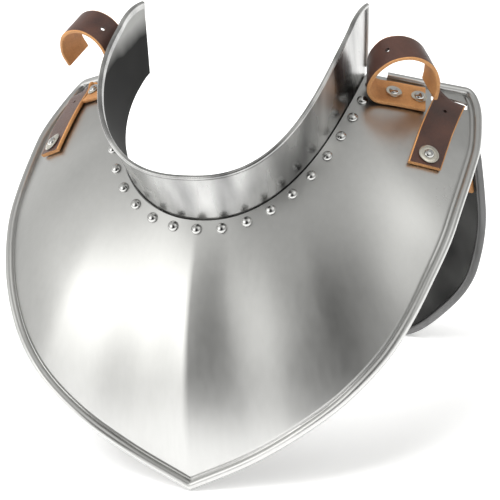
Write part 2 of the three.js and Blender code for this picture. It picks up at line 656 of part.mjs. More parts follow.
// Collar: a flange under the front plate's neck edge, the standing wall and its rolled edges.
function collar(seats) {
  const under = PLATE_WALL + GAP;
  const where = FRONT_STATIONS;
  const loops = where.map((t) => {
    const edge = FLANGE_WIDTH / acrossLength(frontPoint, t);
    const low = (v, depth) => frontPoint(t, v).addScaledVector(frontNormal(t, v), -depth);
    const rise = collarPoint(t).sub(neckPoint(t)).normalize();
    const inside = THREE.MathUtils.clamp(t, -1 + FINE_STEP, 1 - FINE_STEP);
    const along = neckPoint(inside + FINE_STEP).sub(neckPoint(inside - FINE_STEP)).normalize();
    const outward = along.cross(rise).normalize();
    const top = collarPoint(t);
    const middle = neckPoint(t).lerp(top, 0.5);
    const inner = (p) => p.clone().addScaledVector(outward, -COLLAR_WALL);
    const bend = low(0, under);
    return [
      top, middle, bend, low(edge, under),
      low(edge, under + COLLAR_WALL), inner(low(0, under + COLLAR_WALL)), inner(middle), inner(top),
    ];
  });
  const top = where.map((t) => collarPoint(t));
  const end = (t) => COLLAR_END_SHARES.map((share) => neckPoint(t).lerp(collarPoint(t), share));
  const knob = (t) => new THREE.IcosahedronGeometry(KNOB_RADIUS, 1).translate(...collarPoint(t));
  const edges = [top, end(-1), end(1)].map((path) => bead(path, COLLAR_BEAD));
  const body = join([sweep(loops), ...edges, knob(-1), knob(1)]);
  return toGeometry(cut(body, seats.map((seat) => shankHole(seat, COLLAR_HOLE_DEPTH, HOLE_HEIGHT))));
}

function addStraps({ name, hand, loop }) {
  const over = toSolid(strap(connectingFrames(), STRAP_WIDTH, STRAP_WALL));
  const backHole = shankHole(backRivetBase, HOLE_DEPTH, COLLAR_HOLE_DEPTH);
  const connecting = cut(over, [shankHole(strapSeat, HOLE_HEIGHT, STRAP_HOLE_HEIGHT), backHole]);
  addPiece(`connecting_strap_${name}`, handed(toGeometry(connecting), hand), LEATHER);
  const frames = armFrames(loop);
  const arm = toSolid(strap(frames, ARM_STRAP_WIDTH, ARM_STRAP_WALL));
  const punched = HOLE_STATIONS.map((row) => {
    const { point, normal } = frames[row];
    return post({ point, normal }, -PUNCH, PUNCH, HOLE_RADIUS);
  });
  const armHoles = [armInner, armOuterSeat].map((seat) => shankHole(seat, HOLE_HEIGHT, STRAP_HOLE_HEIGHT));
  addPiece(`arm_strap_${name}`, handed(toGeometry(cut(arm, punched.concat(armHoles))), hand), LEATHER);
}

function washer(seat, radius, lift) {
  const hole = SHANK_RADIUS + GAP;
  const ring = [[hole, 0], [radius, 0], [radius, WASHER_WALL], [hole, WASHER_WALL], [hole, 0]];
  const profile = ring.map(([r, y]) => new THREE.Vector2(r, y));
  return withoutSlivers(aim(bareLathe(profile, WASHER_SIDES), seat, lift));
}

function addFasteners({ name, hand }) {
  for (const fastener of FRONT_FASTENERS) {
    const seat = handedSeat(fastener.seat, hand);
    const top = fastener.leather + STRAP_GAP + GAP;
    addPiece(`${fastener.name}_washer_${name}`, washer(seat, fastener.washer, top), PALE_STEEL);
    const head = rivet(seat, STRAP_HEAD, STRAP_DOME, top + WASHER_WALL + GAP, PLATE_WALL);
    addPiece(`${fastener.name}_rivet_${name}`, head, STEEL);
  }
  const seat = handedSeat(backRivetSeat, hand);
  const stack = STRAP_WALL + GAP + STRAP_GAP + PLATE_WALL;
  addPiece(`strap_back_washer_${name}`, washer(seat, WASHER_RADIUS, GAP), PALE_STEEL);
  const head = rivet(seat, STRAP_HEAD, STRAP_DOME, WASHER_WALL + 2 * GAP, stack);
  addPiece(`strap_back_rivet_${name}`, head, STEEL);
}

const seats = collarSeats();
addPiece('front_plate', frontPlate(seats), STEEL);
addPiece('collar', collar(seats), STEEL);
addPiece('back_plate', backPlate(), STEEL);
seats.forEach((seat, i) => {
  const number = String(i + 1).padStart(2, '0');
  const stack = PLATE_WALL + GAP + COLLAR_WALL;
  addPiece(`collar_rivet_${number}`, rivet(seat, RIVET_HEAD, RIVET_DOME, GAP, stack), STEEL);
});
SIDES.forEach(addStraps);
SIDES.forEach(addFasteners);

const bounds = new THREE.Box3().setFromObject(gorget);
const centre = bounds.getCenter(new THREE.Vector3());
gorget.position.set(0, -centre.y, -bounds.min.z);

export default gorget;
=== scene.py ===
"""Steel gorget on a pale floor: ridged breast plate, riveted half collar, back plate, straps.

Lengths in the tables and dataclasses are millimetres in the part's own frame: X to the
wearer's left, Y to the back, Z up. Meshes are made in metres.
"""
import logging
import math
from dataclasses import dataclass, field
from enum import Enum
from typing import Any, Sequence

import bmesh
import bpy
import numpy as np
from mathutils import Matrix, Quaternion, Vector


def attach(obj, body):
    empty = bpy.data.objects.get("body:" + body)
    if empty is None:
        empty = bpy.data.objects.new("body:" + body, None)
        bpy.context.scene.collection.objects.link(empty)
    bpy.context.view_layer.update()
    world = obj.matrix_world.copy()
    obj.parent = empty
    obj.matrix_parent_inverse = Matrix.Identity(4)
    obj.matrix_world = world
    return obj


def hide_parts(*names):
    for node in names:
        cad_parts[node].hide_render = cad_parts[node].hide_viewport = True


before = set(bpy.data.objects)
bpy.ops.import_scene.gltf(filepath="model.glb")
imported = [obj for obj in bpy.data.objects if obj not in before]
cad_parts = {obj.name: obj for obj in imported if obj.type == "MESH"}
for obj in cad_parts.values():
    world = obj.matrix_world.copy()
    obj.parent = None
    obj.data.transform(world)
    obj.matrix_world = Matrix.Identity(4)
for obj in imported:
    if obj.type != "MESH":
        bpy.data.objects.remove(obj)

LOG = logging.getLogger("gorget")
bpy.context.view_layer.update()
MM = 0.001
# Height in metres that no point of a plate goes under
FOOT = 0.00002
# Straight edge under a rivet's dome, in millimetres
RIVET_LIP = 0.25

Row = dict[str, float]
Rows = Sequence[Row]
Array = np.ndarray
Colour = tuple[float, float, float]


def table(names: str, *rows: tuple[float, ...]) -> tuple[Row, ...]:
    """Rows of a table, each with a number under every name.

    Args:
        names: Names of the columns, with spaces between them.
        rows: Numbers of each row.

    Returns:
        The rows.
    """
    return tuple(dict(zip(names.split(), row)) for row in rows)


class Side(Enum):
    """The wearer's sides, with the sign of X on each."""

    LEFT = 1
    RIGHT = -1

    @property
    def label(self) -> str:
        """Name of the side as the nodes carry it."""
        return self.name.lower()

    @property
    def flip(self) -> Array:
        """Factors that bring the left's points to this side."""
        return np.array([self.value, 1.0, 1.0])


class Face(Enum):
    """Faces of a strap, with the place of their finish on the mesh."""

    GRAIN = 0
    FLESH = 1


# Shader and node graphs


class Graph:
    """A node tree with one method that makes any node."""

    def __init__(self, tree: bpy.types.NodeTree) -> None:
        """Keeps the tree and empties it."""
        self.tree = tree
        tree.nodes.clear()

    def node(self, kind: str, settings: dict[str, Any] | None = None,
             sockets: dict[str | int, Any] | None = None) -> bpy.types.Node:
        """Makes a node.

        Args:
            kind: The node's type name.
            settings: Its own settings, set first.
            sockets: Values or links of its inputs, by name or number.

        Returns:
            The new node.
        """
        made = self.tree.nodes.new(kind)
        for name, value in (settings or {}).items():
            setattr(made, name, value)
        for key, value in (sockets or {}).items():
            self.feed(made.inputs[key], value)
        return made

    def feed(self, socket: bpy.types.NodeSocket, value: Any) -> None:
        """Links a value or another node's output to a socket, or sets it.

        Args:
            socket: The input.
            value: A Term, an output socket or a plain value.
        """
        source = value.socket if isinstance(value, Term) else value
        if isinstance(source, bpy.types.NodeSocket):
            self.tree.links.new(source, socket)
        else:
            socket.default_value = source

    def value(self, made: bpy.types.Node, output: str | int = 0) -> "Term":
        """Output of a node as a Term."""
        return Term(self, made.outputs[output])


class Term:
    """A number in a node tree that takes part in Python expressions."""

    def __init__(self, graph: Graph, socket: bpy.types.NodeSocket) -> None:
        """Keeps the graph and the socket that gives the number."""
        self.graph = graph
        self.socket = socket

    def _math(self, operation: str, first: Any, second: Any) -> "Term":
        """Number of a Math node.

        Args:
            operation: The node's operation.
            first: First number or Term.
            second: Second number or Term.

        Returns:
            The result as a Term.
        """
        made = self.graph.node("ShaderNodeMath", {"operation": operation}, {0: first, 1: second})
        return Term(self.graph, made.outputs[0])

    def __add__(self, other: Any) -> "Term":
        """Sum."""
        return self._math("ADD", self, other)

    def __sub__(self, other: Any) -> "Term":
        """Difference."""
        return self._math("SUBTRACT", self, other)

    def __rsub__(self, other: Any) -> "Term":
        """Difference from a number."""
        return self._math("SUBTRACT", other, self)

    def __mul__(self, other: Any) -> "Term":
        """Product."""
        return self._math("MULTIPLY", self, other)

    def __rmul__(self, other: Any) -> "Term":
        """Product with a number first."""
        return self._math("MULTIPLY", other, self)

    def __truediv__(self, other: Any) -> "Term":
        """Quotient."""
        return self._math("DIVIDE", self, other)

    def __pow__(self, other: Any) -> "Term":
        """Power."""
        return self._math("POWER", self, other)

    def at_least(self, other: Any) -> "Term":
        """The larger of this and another number."""
        return self._math("MAXIMUM", self, other)

    def at_most(self, other: Any) -> "Term":
        """The smaller of this and another number."""
        return self._math("MINIMUM", self, other)


# Finishes


class Shader(Graph):
    """A material's graph with the textures that the finishes share."""

    noise_range = (0.3, 0.7)

    def __init__(self, name: str) -> None:
        """Makes a material and its coordinates.

        Args:
            name: The material's name.
        """
        self.material = bpy.data.materials.new(name)
        self.material.use_nodes = True
        super().__init__(self.material.node_tree)
        self.place = self.value(self.node("ShaderNodeTexCoord"), "Object")

    def stretched(self, scale: Sequence[float]) -> Term:
        """Object coordinates scaled on each axis."""
        return self.value(self.node("ShaderNodeMapping", sockets={"Vector": self.place, "Scale": scale}))

    def cloud(self, scale: float, detail: float, where: Term | None = None) -> Term:
        """Noise between 0 and 1.

        Args:
            scale: Waves to the metre.
            detail: Octaves.
            where: Coordinates, or None for the object's.

        Returns:
            The noise's number.
        """
        sockets = {"Vector": where or self.place, "Scale": scale, "Detail": detail}
        return self.value(self.node("ShaderNodeTexNoise", sockets=sockets))

    def cells(self, scale: float) -> Term:
        """Distance to the nearest edge between cells, for leather's grain."""
        sockets = {"Vector": self.place, "Scale": scale}
        return self.value(self.node("ShaderNodeTexVoronoi", {"feature": "DISTANCE_TO_EDGE"}, sockets))

    def between(self, low: float, high: float, amount: Term) -> Term:
        """Number that runs from low to high over the middle of a noise's range.

        Args:
            low: Number at the foot of the range.
            high: Number at its top.
            amount: The noise.

        Returns:
            The number.
        """
        start, end = self.noise_range
        sockets = {"Value": amount, "From Min": start, "From Max": end, "To Min": low, "To Max": high}
        return self.value(self.node("ShaderNodeMapRange", sockets=sockets))

    def tint(self, first: Sequence[float] | Term, second: Sequence[float], amount: Term) -> Term:
        """Colour between two others.

        Args:
            first: Colour at 0, a colour or another tint.
            second: Colour at 1.
            amount: Share of the second.

        Returns:
            The mixed colour.
        """
        start = first if isinstance(first, Term) else (*first, 1.0)
        made = self.node("ShaderNodeMix", {"data_type": "RGBA", "clamp_factor": True},
                         {0: amount, 6: start, 7: (*second, 1.0)})
        return self.value(made, 2)

    def bumped(self, height: Term, distance: float, strength: float, base: Term | None = None) -> Term:
        """Normal from a height.

        Args:
            height: The height, 0 to 1.
            distance: Depth in metres.
            strength: Share of the effect.
            base: Normal that it goes on, or None.

        Returns:
            The normal.
        """
        sockets = {"Height": height, "Distance": distance, "Strength": strength}
        if base is not None:
            sockets["Normal"] = base
        return self.value(self.node("ShaderNodeBump", sockets=sockets))

    def close(self, sockets: dict[str, Any]) -> bpy.types.Material:
        """Ends the graph in a Principled shader.

        Args:
            sockets: The shader's inputs.

        Returns:
            The material.
        """
        skin = self.node("ShaderNodeBsdfPrincipled", sockets=sockets)
        self.node("ShaderNodeOutputMaterial", sockets={"Surface": skin.outputs[0]})
        return self.material


@dataclass(frozen=True)
class SteelFinish:
    """Worked steel: soft hammered swells, a fine brushed grain, cloudy polish and stretched bands of tone;
    where band_share is large, as on the collar, the bands are painted reflection streaks.
    """

    name: str
    pale: Colour = (0.60, 0.60, 0.59)
    dull: Colour = (0.50, 0.50, 0.49)
    smooth: float = 0.27
    rough: float = 0.37
    patch: float = 11.0
    swell: float = 22.0
    swell_depth: float = 0.0011
    brush: tuple[float, float, float] = (260.0, 260.0, 30.0)
    brush_depth: float = 0.00004
    brush_share: float = 0.3
    # Stretched bands in the base colour; with a large band_share they are painted reflection streaks.
    bands: tuple[float, float, float] = (9.0, 9.0, 7.0)
    band_share: float = 0.3
    relief: float = 0.5

    def make(self) -> bpy.types.Material:
        """Builds the material.

        Returns:
            The material.
        """
        shader = Shader(self.name)
        patches = shader.cloud(self.patch, 1.5)
        streaks = shader.cloud(1.0, 2.0, shader.stretched(self.brush))
        bands = shader.cloud(1.0, 1.0, shader.stretched(self.bands))
        worked = patches * (1.0 - self.brush_share) + streaks * self.brush_share
        # Random tone, plus painted reflection streaks where the bands weigh heavily.
        polish_and_reflection = worked * (1.0 - self.band_share) + bands * self.band_share
        swells = shader.bumped(shader.cloud(self.swell, 0.0), self.swell_depth, self.relief)
        normal = shader.bumped(streaks, self.brush_depth, self.relief, swells)
        return shader.close({
            "Base Color": shader.tint(self.dull, self.pale, shader.between(0.0, 1.0, polish_and_reflection)),
            "Metallic": 1.0,
            "Roughness": shader.between(self.smooth, self.rough, polish_and_reflection),
            "Normal": normal,
        })


@dataclass(frozen=True)
class InsideFinish:
    """Unpolished inner face: painted shade with a mottled painted sheen low down, bare steel near the top
    edge.
    """

    name: str
    # The dark colour is painted shade and the sheen colour a painted reflection mottled into it; from low to
    # high they fade to bare steel.
    dark: Colour = (0.012, 0.012, 0.012)
    painted_sheen: Colour = (0.018, 0.018, 0.017)
    pale: Colour = (0.42, 0.42, 0.41)
    low: float = 0.219
    high: float = 0.231
    wander: float = 0.014
    rough: float = 0.6
    shine: float = 0.08
    mottle: float = 26.0
    dents: float = 24.0
    dent_depth: float = 0.001
    relief: float = 0.5

    def make(self) -> bpy.types.Material:
        """Builds the material.

        Returns:
            The material.
        """
        shader = Shader(self.name)
        parts = shader.node("ShaderNodeSeparateXYZ", sockets={0: shader.place})
        mottle = shader.cloud(self.mottle, 2.0)
        height = shader.value(parts, 2) + mottle * self.wander - self.wander / 2
        rise = ((height - self.low) / (self.high - self.low)).at_least(0.0).at_most(1.0)
        # Painted shade with a mottled painted sheen for the lower inner face.
        painted_shade_and_sheen = shader.tint(self.dark, self.painted_sheen, shader.between(0.0, 1.0, mottle))
        return shader.close({
            "Base Color": shader.tint(painted_shade_and_sheen, self.pale, rise),
            "Metallic": rise,
            "Roughness": self.rough,
            "Specular IOR Level": self.shine,
            "Normal": shader.bumped(shader.cloud(self.dents, 0.0), self.dent_depth, self.relief),
        })


@dataclass(frozen=True)
class LeatherFinish:
    """Vegetable tanned leather: a grained, waxed face or a napped flesh side."""

    name: str
    light: Colour
    dark: Colour
    smooth: float
    rough: float
    grain: float
    grain_depth: float
    coat: float = 0.0
    coat_rough: float = 0.3
    mottle: float = 70.0
    fibre: float = 900.0
    fibre_share: float = 0.35
    crease_width: float = 0.12
    crease_gain: float = 8.0
    crease_share: float = 0.6
    relief: float = 0.7

    def make(self) -> bpy.types.Material:
        """Builds the material.

        Returns:
            The material.
        """
        shader = Shader(self.name)
        mottle = shader.cloud(self.mottle, 4.0)
        fibres = shader.cloud(self.fibre, 3.0)
        creases = shader.cells(self.grain).at_most(self.crease_width) * self.crease_gain
        tone = mottle * (1.0 - self.fibre_share) + fibres * self.fibre_share
        height = creases * self.crease_share + fibres * (1.0 - self.crease_share)
        return shader.close({
            "Base Color": shader.tint(self.dark, self.light, shader.between(0.0, 1.0, tone)),
            "Roughness": shader.between(self.smooth, self.rough, 0.5 * mottle + 0.5 * fibres),
            "Normal": shader.bumped(height, self.grain_depth, self.relief),
            "Coat Weight": self.coat,
            "Coat Roughness": self.coat_rough,
        })


@dataclass(frozen=True)
class FloorFinish:
    """Plain pale floor that glows a little, so that shadows on it stay faint."""

    colour: tuple[float, float, float, float] = (0.93, 0.93, 0.93, 1.0)
    rough: float = 0.75
    light: tuple[float, float, float, float] = (1.0, 1.0, 1.0, 1.0)
    glow: float = 0.3

    def make(self) -> bpy.types.Material:
        """Builds the material."""
        return Shader("pale_floor").close({"Base Color": self.colour, "Roughness": self.rough,
                                           "Emission Color": self.light, "Emission Strength": self.glow})


@dataclass(frozen=True)
class Finishes:
    """Every finish of the gorget, made once."""

    plate: bpy.types.Material
    collar: bpy.types.Material
    back: bpy.types.Material
    rivet: bpy.types.Material
    washer: bpy.types.Material
    collar_inside: bpy.types.Material
    back_inside: bpy.types.Material
    grain: bpy.types.Material
    flesh: bpy.types.Material

    @staticmethod
    def all() -> "Finishes":
        """Makes each material.

        Returns:
            The finishes.
        """
        return Finishes(
            plate=SteelFinish("front_plate_steel").make(),
            # The collar's strong dark-to-pale bands in the base colour are painted reflection streaks.
            collar=SteelFinish("collar_steel", pale=(0.62, 0.62, 0.61), dull=(0.2, 0.2, 0.2), smooth=0.2,
                               rough=0.32, swell=26.0, brush=(420.0, 420.0, 20.0), brush_depth=0.00006,
                               bands=(62.0, 62.0, 7.0), band_share=0.75).make(),
            # The back plate's steel is a darker copy of the plate steel: painted shade for a plate lying in
            # the front plate's shadow.
            back=SteelFinish("back_plate_steel", pale=(0.22, 0.22, 0.22), dull=(0.1, 0.1, 0.1),
                             smooth=0.26, rough=0.4).make(),
            rivet=SteelFinish("rivet_steel", smooth=0.1, rough=0.2, swell=300.0, swell_depth=0.0001,
                              brush=(900.0, 900.0, 900.0), brush_depth=0.00002).make(),
            washer=SteelFinish("washer_steel", pale=(0.74, 0.71, 0.63), dull=(0.58, 0.55, 0.48), smooth=0.2,
                               rough=0.34, swell=300.0, swell_depth=0.0001,
                               brush=(900.0, 900.0, 900.0)).make(),
            # Inner faces: painted shade with a mottled painted sheen; the back plate's low and high lie above
            # the plate, so its whole inner face is painted shade.
            collar_inside=InsideFinish("collar_inside_steel").make(),
            back_inside=InsideFinish("back_inside_steel", dark=(0.01, 0.01, 0.01),
                                     painted_sheen=(0.07, 0.07, 0.068), low=0.3, high=0.4).make(),
            grain=LeatherFinish("leather_grain", light=(0.085, 0.034, 0.022), dark=(0.03, 0.012, 0.009),
                                smooth=0.34, rough=0.5, grain=1500.0, grain_depth=0.00016,
                                coat=0.25).make(),
            flesh=LeatherFinish("leather_flesh", light=(0.64, 0.33, 0.13), dark=(0.38, 0.17, 0.06),
                                smooth=0.6, rough=0.8, grain=1100.0, grain_depth=0.00012).make(),
        )


# Meshes


@dataclass(frozen=True)
class Seat:
    """A place on the gorget and the way it faces."""

    point: Array
    normal: Array

    def on(self, side: Side) -> "Seat":
        """The same seat on a side; the seats are worked out on the left."""
        return Seat(self.point * side.flip, self.normal * side.flip)

    def raised(self, height: float) -> "Seat":
        """The seat moved along its normal."""
        return Seat(self.point + self.normal * height, self.normal)

    def turned(self) -> "Seat":
        """The seat facing the other way."""
        return Seat(self.point, -self.normal)


def unit(vectors: Array) -> Array:
    """Vectors at length one."""
    return vectors / np.maximum(np.linalg.norm(vectors, axis=-1, keepdims=True), 1e-12)


def lengths(points: Array) -> Array:
    """Length of a line up to each of its points."""
    steps = np.linalg.norm(np.diff(points, axis=0), axis=1)
    return np.concatenate([[0.0], np.cumsum(steps)])


class Workshop:
    """Makes, joins and hands over meshes."""

    @staticmethod
    def linked(name: str, data: bpy.types.ID) -> bpy.types.Object:
        """Makes an object and puts it into the scene.

        Args:
            name: The object's name.
            data: Its mesh, light or camera.

        Returns:
            The object.
        """
        made = bpy.data.objects.new(name, data)
        bpy.context.scene.collection.objects.link(made)
        return made

    @staticmethod
    def scrap(made: bpy.types.Object) -> None:
        """Removes an object and its mesh.

        Args:
            made: The object.
        """
        mesh = made.data
        bpy.data.objects.remove(made)
        bpy.data.meshes.remove(mesh)

    @staticmethod
    def object_from(name: str, points: Array, faces: Sequence[Sequence[int]],
                    materials: Sequence[bpy.types.Material] = (), slots: Sequence[int] | None = None,
                    edges: Sequence[tuple[int, int]] = ()) -> bpy.types.Object:
        """Makes an object from points in millimetres.

        Args:
            name: The object's name.
            points: Points in millimetres.
            faces: Corner numbers of each face.
            materials: The materials.
            slots: Number of each face's material, or None.
            edges: Ends of each edge that no face has.

        Returns:
            The object, in the scene.
        """
        mesh = bpy.data.meshes.new(name)
        spots = (np.asarray(points).reshape(-1, 3) * MM).tolist()
        mesh.from_pydata(spots, list(edges), [list(face) for face in faces])
        for material in materials:
            mesh.materials.append(material)
        if slots is not None:
            mesh.polygons.foreach_set("material_index", list(slots))
        return Workshop.linked(name, mesh)

    @staticmethod
    def outward(made: bpy.types.Object, doubles: float = 1e-7) -> bpy.types.Object:
        """Merges doubles and turns every face outwards.

        Args:
            made: The object.
            doubles: Merging distance in metres.

        Returns:
            The same object.
        """
        body = bmesh.new()
        body.from_mesh(made.data)
        bmesh.ops.remove_doubles(body, verts=body.verts, dist=doubles)
        bmesh.ops.recalc_face_normals(body, faces=body.faces)
        body.to_mesh(made.data)
        body.free()
        return made

    @staticmethod
    def smooth(made: bpy.types.Object, sharp: float = 38.0) -> bpy.types.Object:
        """Shades smooth, with edges past an angle left sharp.

        Args:
            made: The object.
            sharp: The angle in degrees.

        Returns:
            The same object.
        """
        made.data.shade_smooth()
        made.data.set_sharp_from_angle(angle=math.radians(sharp))
        return made

    @staticmethod
    def plain(made: bpy.types.Object) -> bpy.types.Object:
        """Turns modifiers into a plain mesh and takes them off.

        Args:
            made: The object.

        Returns:
            The same object.
        """
        graph = bpy.context.evaluated_depsgraph_get()
        mesh = bpy.data.meshes.new_from_object(made.evaluated_get(graph))
        made.modifiers.clear()
        old = made.data
        made.data = mesh
        mesh.name = made.name
        bpy.data.meshes.remove(old)
        return made

    @staticmethod
    def join(body: bpy.types.Object, others: Sequence[bpy.types.Object]) -> bpy.types.Object:
        """Adds other objects' meshes to one; they take its first material.

        Args:
            body: The object that stays.
            others: The objects that go into it.

        Returns:
            The body.
        """
        whole = bmesh.new()
        whole.from_mesh(body.data)
        for other in others:
            whole.from_mesh(other.data)
            Workshop.scrap(other)
        whole.to_mesh(body.data)
        whole.free()
        return body

    @staticmethod
    def cut(body: bpy.types.Object, tools: Sequence[bpy.types.Object]) -> bpy.types.Object:
        """Cuts other objects out of a body.

        Args:
            body: The object that stays.
            tools: The objects cut out of it, then removed.

        Returns:
            The body.
        """
        for tool in tools:
            knife = body.modifiers.new("cut", "BOOLEAN")
            knife.operation = "DIFFERENCE"
            knife.solver = "EXACT"
            knife.object = tool
        Workshop.plain(body)
        for tool in tools:
            Workshop.scrap(tool)
        return body

    @staticmethod
    def quads(stations: int, corners: int) -> list[tuple[int, ...]]:
        """Faces between closed loops of points.

        Args:
            stations: Number of loops.
            corners: Points of each loop.

        Returns:
            Corner numbers of each face, loop by loop.
        """
        faces = []
        for here in range(0, (stations - 1) * corners, corners):
            for j in range(corners):
                k = (j + 1) % corners
                faces.append((here + j, here + k, here + corners + k, here + corners + j))
        return faces

    @staticmethod
    def swept(name: str, loops: Array, materials: Sequence[bpy.types.Material],
              slot_of: Sequence[int] | None = None) -> bpy.types.Object:
        """Closed body through loops of points, with capped ends.

        Args:
            name: The object's name.
            loops: Points as stations by corners by three.
            materials: The materials.
            slot_of: Material number of each side of the loop, or None.

        Returns:
            The object, facing outwards.
        """
        stations, corners = loops.shape[:2]
        kinds = [0] * corners if slot_of is None else list(slot_of)
        faces, slots = Workshop.quads(stations, corners), kinds * (stations - 1)
        for start in (0, (stations - 1) * corners):
            faces.append(tuple(range(start, start + corners)))
            slots.append(kinds[0])
        made = Workshop.object_from(name, loops, faces, materials, slots)
        return Workshop.outward(made)

    @staticmethod
    def post(seat: Seat, radius: float, depth: float, sides: int = 20) -> bpy.types.Object:
        """Round cutter through a seat.

        Args:
            seat: Where it goes.
            radius: Its radius.
            depth: How far it reaches each way.
            sides: Its sides.

        Returns:
            The cutter.
        """
        aside = np.array([0.31, 0.77, 0.56])
        first = unit(np.cross(seat.normal, aside))
        second = np.cross(seat.normal, first)
        turns = np.linspace(0.0, 2.0 * math.pi, sides, endpoint=False)
        ring = radius * (np.cos(turns)[:, None] * first + np.sin(turns)[:, None] * second)
        loops = np.stack([seat.point + ring + seat.normal * d for d in (-depth, depth)])
        return Workshop.swept("cutter", loops, ())

    @staticmethod
    def flatten_foot(made: bpy.types.Object) -> None:
        """Lifts what reaches under the floor up to it."""
        for vertex in made.data.vertices:
            vertex.co.z = max(vertex.co.z, FOOT)

    @staticmethod
    def hand_over(made: bpy.types.Object, slot: str, nodes: Sequence[str]) -> None:
        """Hides the parts that the piece stands for and puts it on the root body.

        Args:
            made: The finished piece.
            slot: The record's material slot; not used.
            nodes: The nodes that it replaces.
        """
        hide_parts(*nodes)
        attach(made, "root")
        LOG.info("%s: %d faces, stands for %d", made.name, len(made.data.polygons), len(nodes))


class Fitter:
    """Geometry Nodes trees of the gorget, and their use on a mesh."""

    rim_sides = 20
    dome_segments = 28
    dome_rings = 20
    dome_sharp = 50.0
    washer_segments = 36
    washer_sides = 12
    spin_low = (-0.04, -0.04, 0.0)
    spin_high = (0.04, 0.04, 6.28)

    def __init__(self) -> None:
        """Builds the three trees."""
        self.rim = self._rim_tree()
        self.rivets = self._rivet_tree()
        self.washers = self._washer_tree()

    @staticmethod
    def _open(name: str, inputs: Sequence[tuple[str, str, Any]]) -> tuple[Graph, bpy.types.Node]:
        """Starts a tree with a geometry in and out, named inputs and a material.

        Args:
            name: The tree's name.
            inputs: Name, socket type and default of each input.

        Returns:
            The graph and its group input.
        """
        tree = bpy.data.node_groups.new(name, "GeometryNodeTree")
        for way in ("OUTPUT", "INPUT"):
            tree.interface.new_socket(name="Geometry", in_out=way, socket_type="NodeSocketGeometry")
        for label, kind, default in (*inputs, ("Material", "NodeSocketMaterial", None)):
            made = tree.interface.new_socket(name=label, in_out="INPUT", socket_type=kind)
            if default is not None:
                made.default_value = default
        graph = Graph(tree)
        return graph, graph.node("NodeGroupInput")

    @staticmethod
    def _close(graph: Graph, geometry: bpy.types.NodeSocket, source: bpy.types.Node) -> bpy.types.NodeTree:
        """Ends a tree in smooth shading, real geometry and its material.

        Args:
            graph: The graph.
            geometry: What it has made.
            source: Its group input.

        Returns:
            The tree.
        """
        real = graph.node("GeometryNodeRealizeInstances", sockets={"Geometry": geometry})
        smooth = graph.node("GeometryNodeSetShadeSmooth", sockets={"Geometry": real.outputs[0]})
        dressed = graph.node("GeometryNodeSetMaterial",
                             sockets={"Geometry": smooth.outputs[0], "Material": source.outputs["Material"]})
        graph.node("NodeGroupOutput", sockets={"Geometry": dressed.outputs[0]})
        return graph.tree

    def _rim_tree(self) -> bpy.types.NodeTree:
        """Round roll along the mesh's edges.

        Returns:
            The tree.
        """
        graph, source = self._open("rolled_rim", [
            ("Radius", "NodeSocketFloat", 0.0029), ("Sides", "NodeSocketInt", self.rim_sides)])
        path = graph.node("GeometryNodeMeshToCurve", sockets={"Mesh": source.outputs["Geometry"]})
        ring = graph.node("GeometryNodeCurvePrimitiveCircle",
                          sockets={"Resolution": source.outputs["Sides"], "Radius": source.outputs["Radius"]})
        roll = graph.node("GeometryNodeCurveToMesh", sockets={
            "Curve": path.outputs[0], "Profile Curve": ring.outputs[0], "Fill Caps": True})
        return self._close(graph, roll.outputs[0], source)

    def _scattered(self, graph: Graph, source: bpy.types.Node,
                   die: bpy.types.NodeSocket) -> bpy.types.NodeSocket:
        """Sets a die on each point, facing as the point says and spun at random.

        Args:
            graph: The graph.
            source: Its group input.
            die: The shape that is set.

        Returns:
            The instances.
        """
        named = "GeometryNodeInputNamedAttribute"
        facing = graph.node(named, {"data_type": "FLOAT_VECTOR"}, {"Name": "facing"})
        size = graph.node(named, {"data_type": "FLOAT"}, {"Name": "size"})
        turned = graph.node("FunctionNodeAlignRotationToVector", {"axis": "Z"}, {"Vector": facing.outputs[0]})
        spin = graph.node("FunctionNodeRandomValue", {"data_type": "FLOAT_VECTOR"}, {
            0: self.spin_low, 1: self.spin_high, "Seed": source.outputs["Seed"]})
        spun = graph.node("FunctionNodeRotateRotation", {"rotation_space": "LOCAL"},
                          {0: turned.outputs[0], 1: spin.outputs[0]})
        placed = graph.node("GeometryNodeInstanceOnPoints", sockets={
            "Points": source.outputs["Geometry"], "Instance": die,
            "Rotation": spun.outputs[0], "Scale": size.outputs[0]})
        return placed.outputs[0]

    def _rivet_tree(self) -> bpy.types.NodeTree:
        """Domed rivet heads with a flat underside on the mesh's points.

        Returns:
            The tree.
        """
        graph, source = self._open("dome_rivets", [
            ("Radius", "NodeSocketFloat", 0.0034), ("Dome", "NodeSocketFloat", 0.0024),
            ("Lip", "NodeSocketFloat", RIVET_LIP * MM), ("Seed", "NodeSocketInt", 7)])
        ball = graph.node("GeometryNodeMeshUVSphere", sockets={
            "Segments": self.dome_segments, "Rings": self.dome_rings, "Radius": source.outputs["Radius"]})
        spot = graph.node("GeometryNodeInputPosition")
        parts = graph.node("ShaderNodeSeparateXYZ", sockets={0: spot.outputs[0]})
        ratio = graph.value(source, "Dome") / graph.value(source, "Radius")
        flat = (graph.value(parts, 2) * ratio).at_least(0.0 - graph.value(source, "Lip"))
        moved = graph.node("ShaderNodeCombineXYZ", sockets={
            0: parts.outputs[0], 1: parts.outputs[1], 2: flat})
        dome = graph.node("GeometryNodeSetPosition", sockets={
            "Geometry": ball.outputs[0], "Position": moved.outputs[0]})
        return self._close(graph, self._scattered(graph, source, dome.outputs[0]), source)

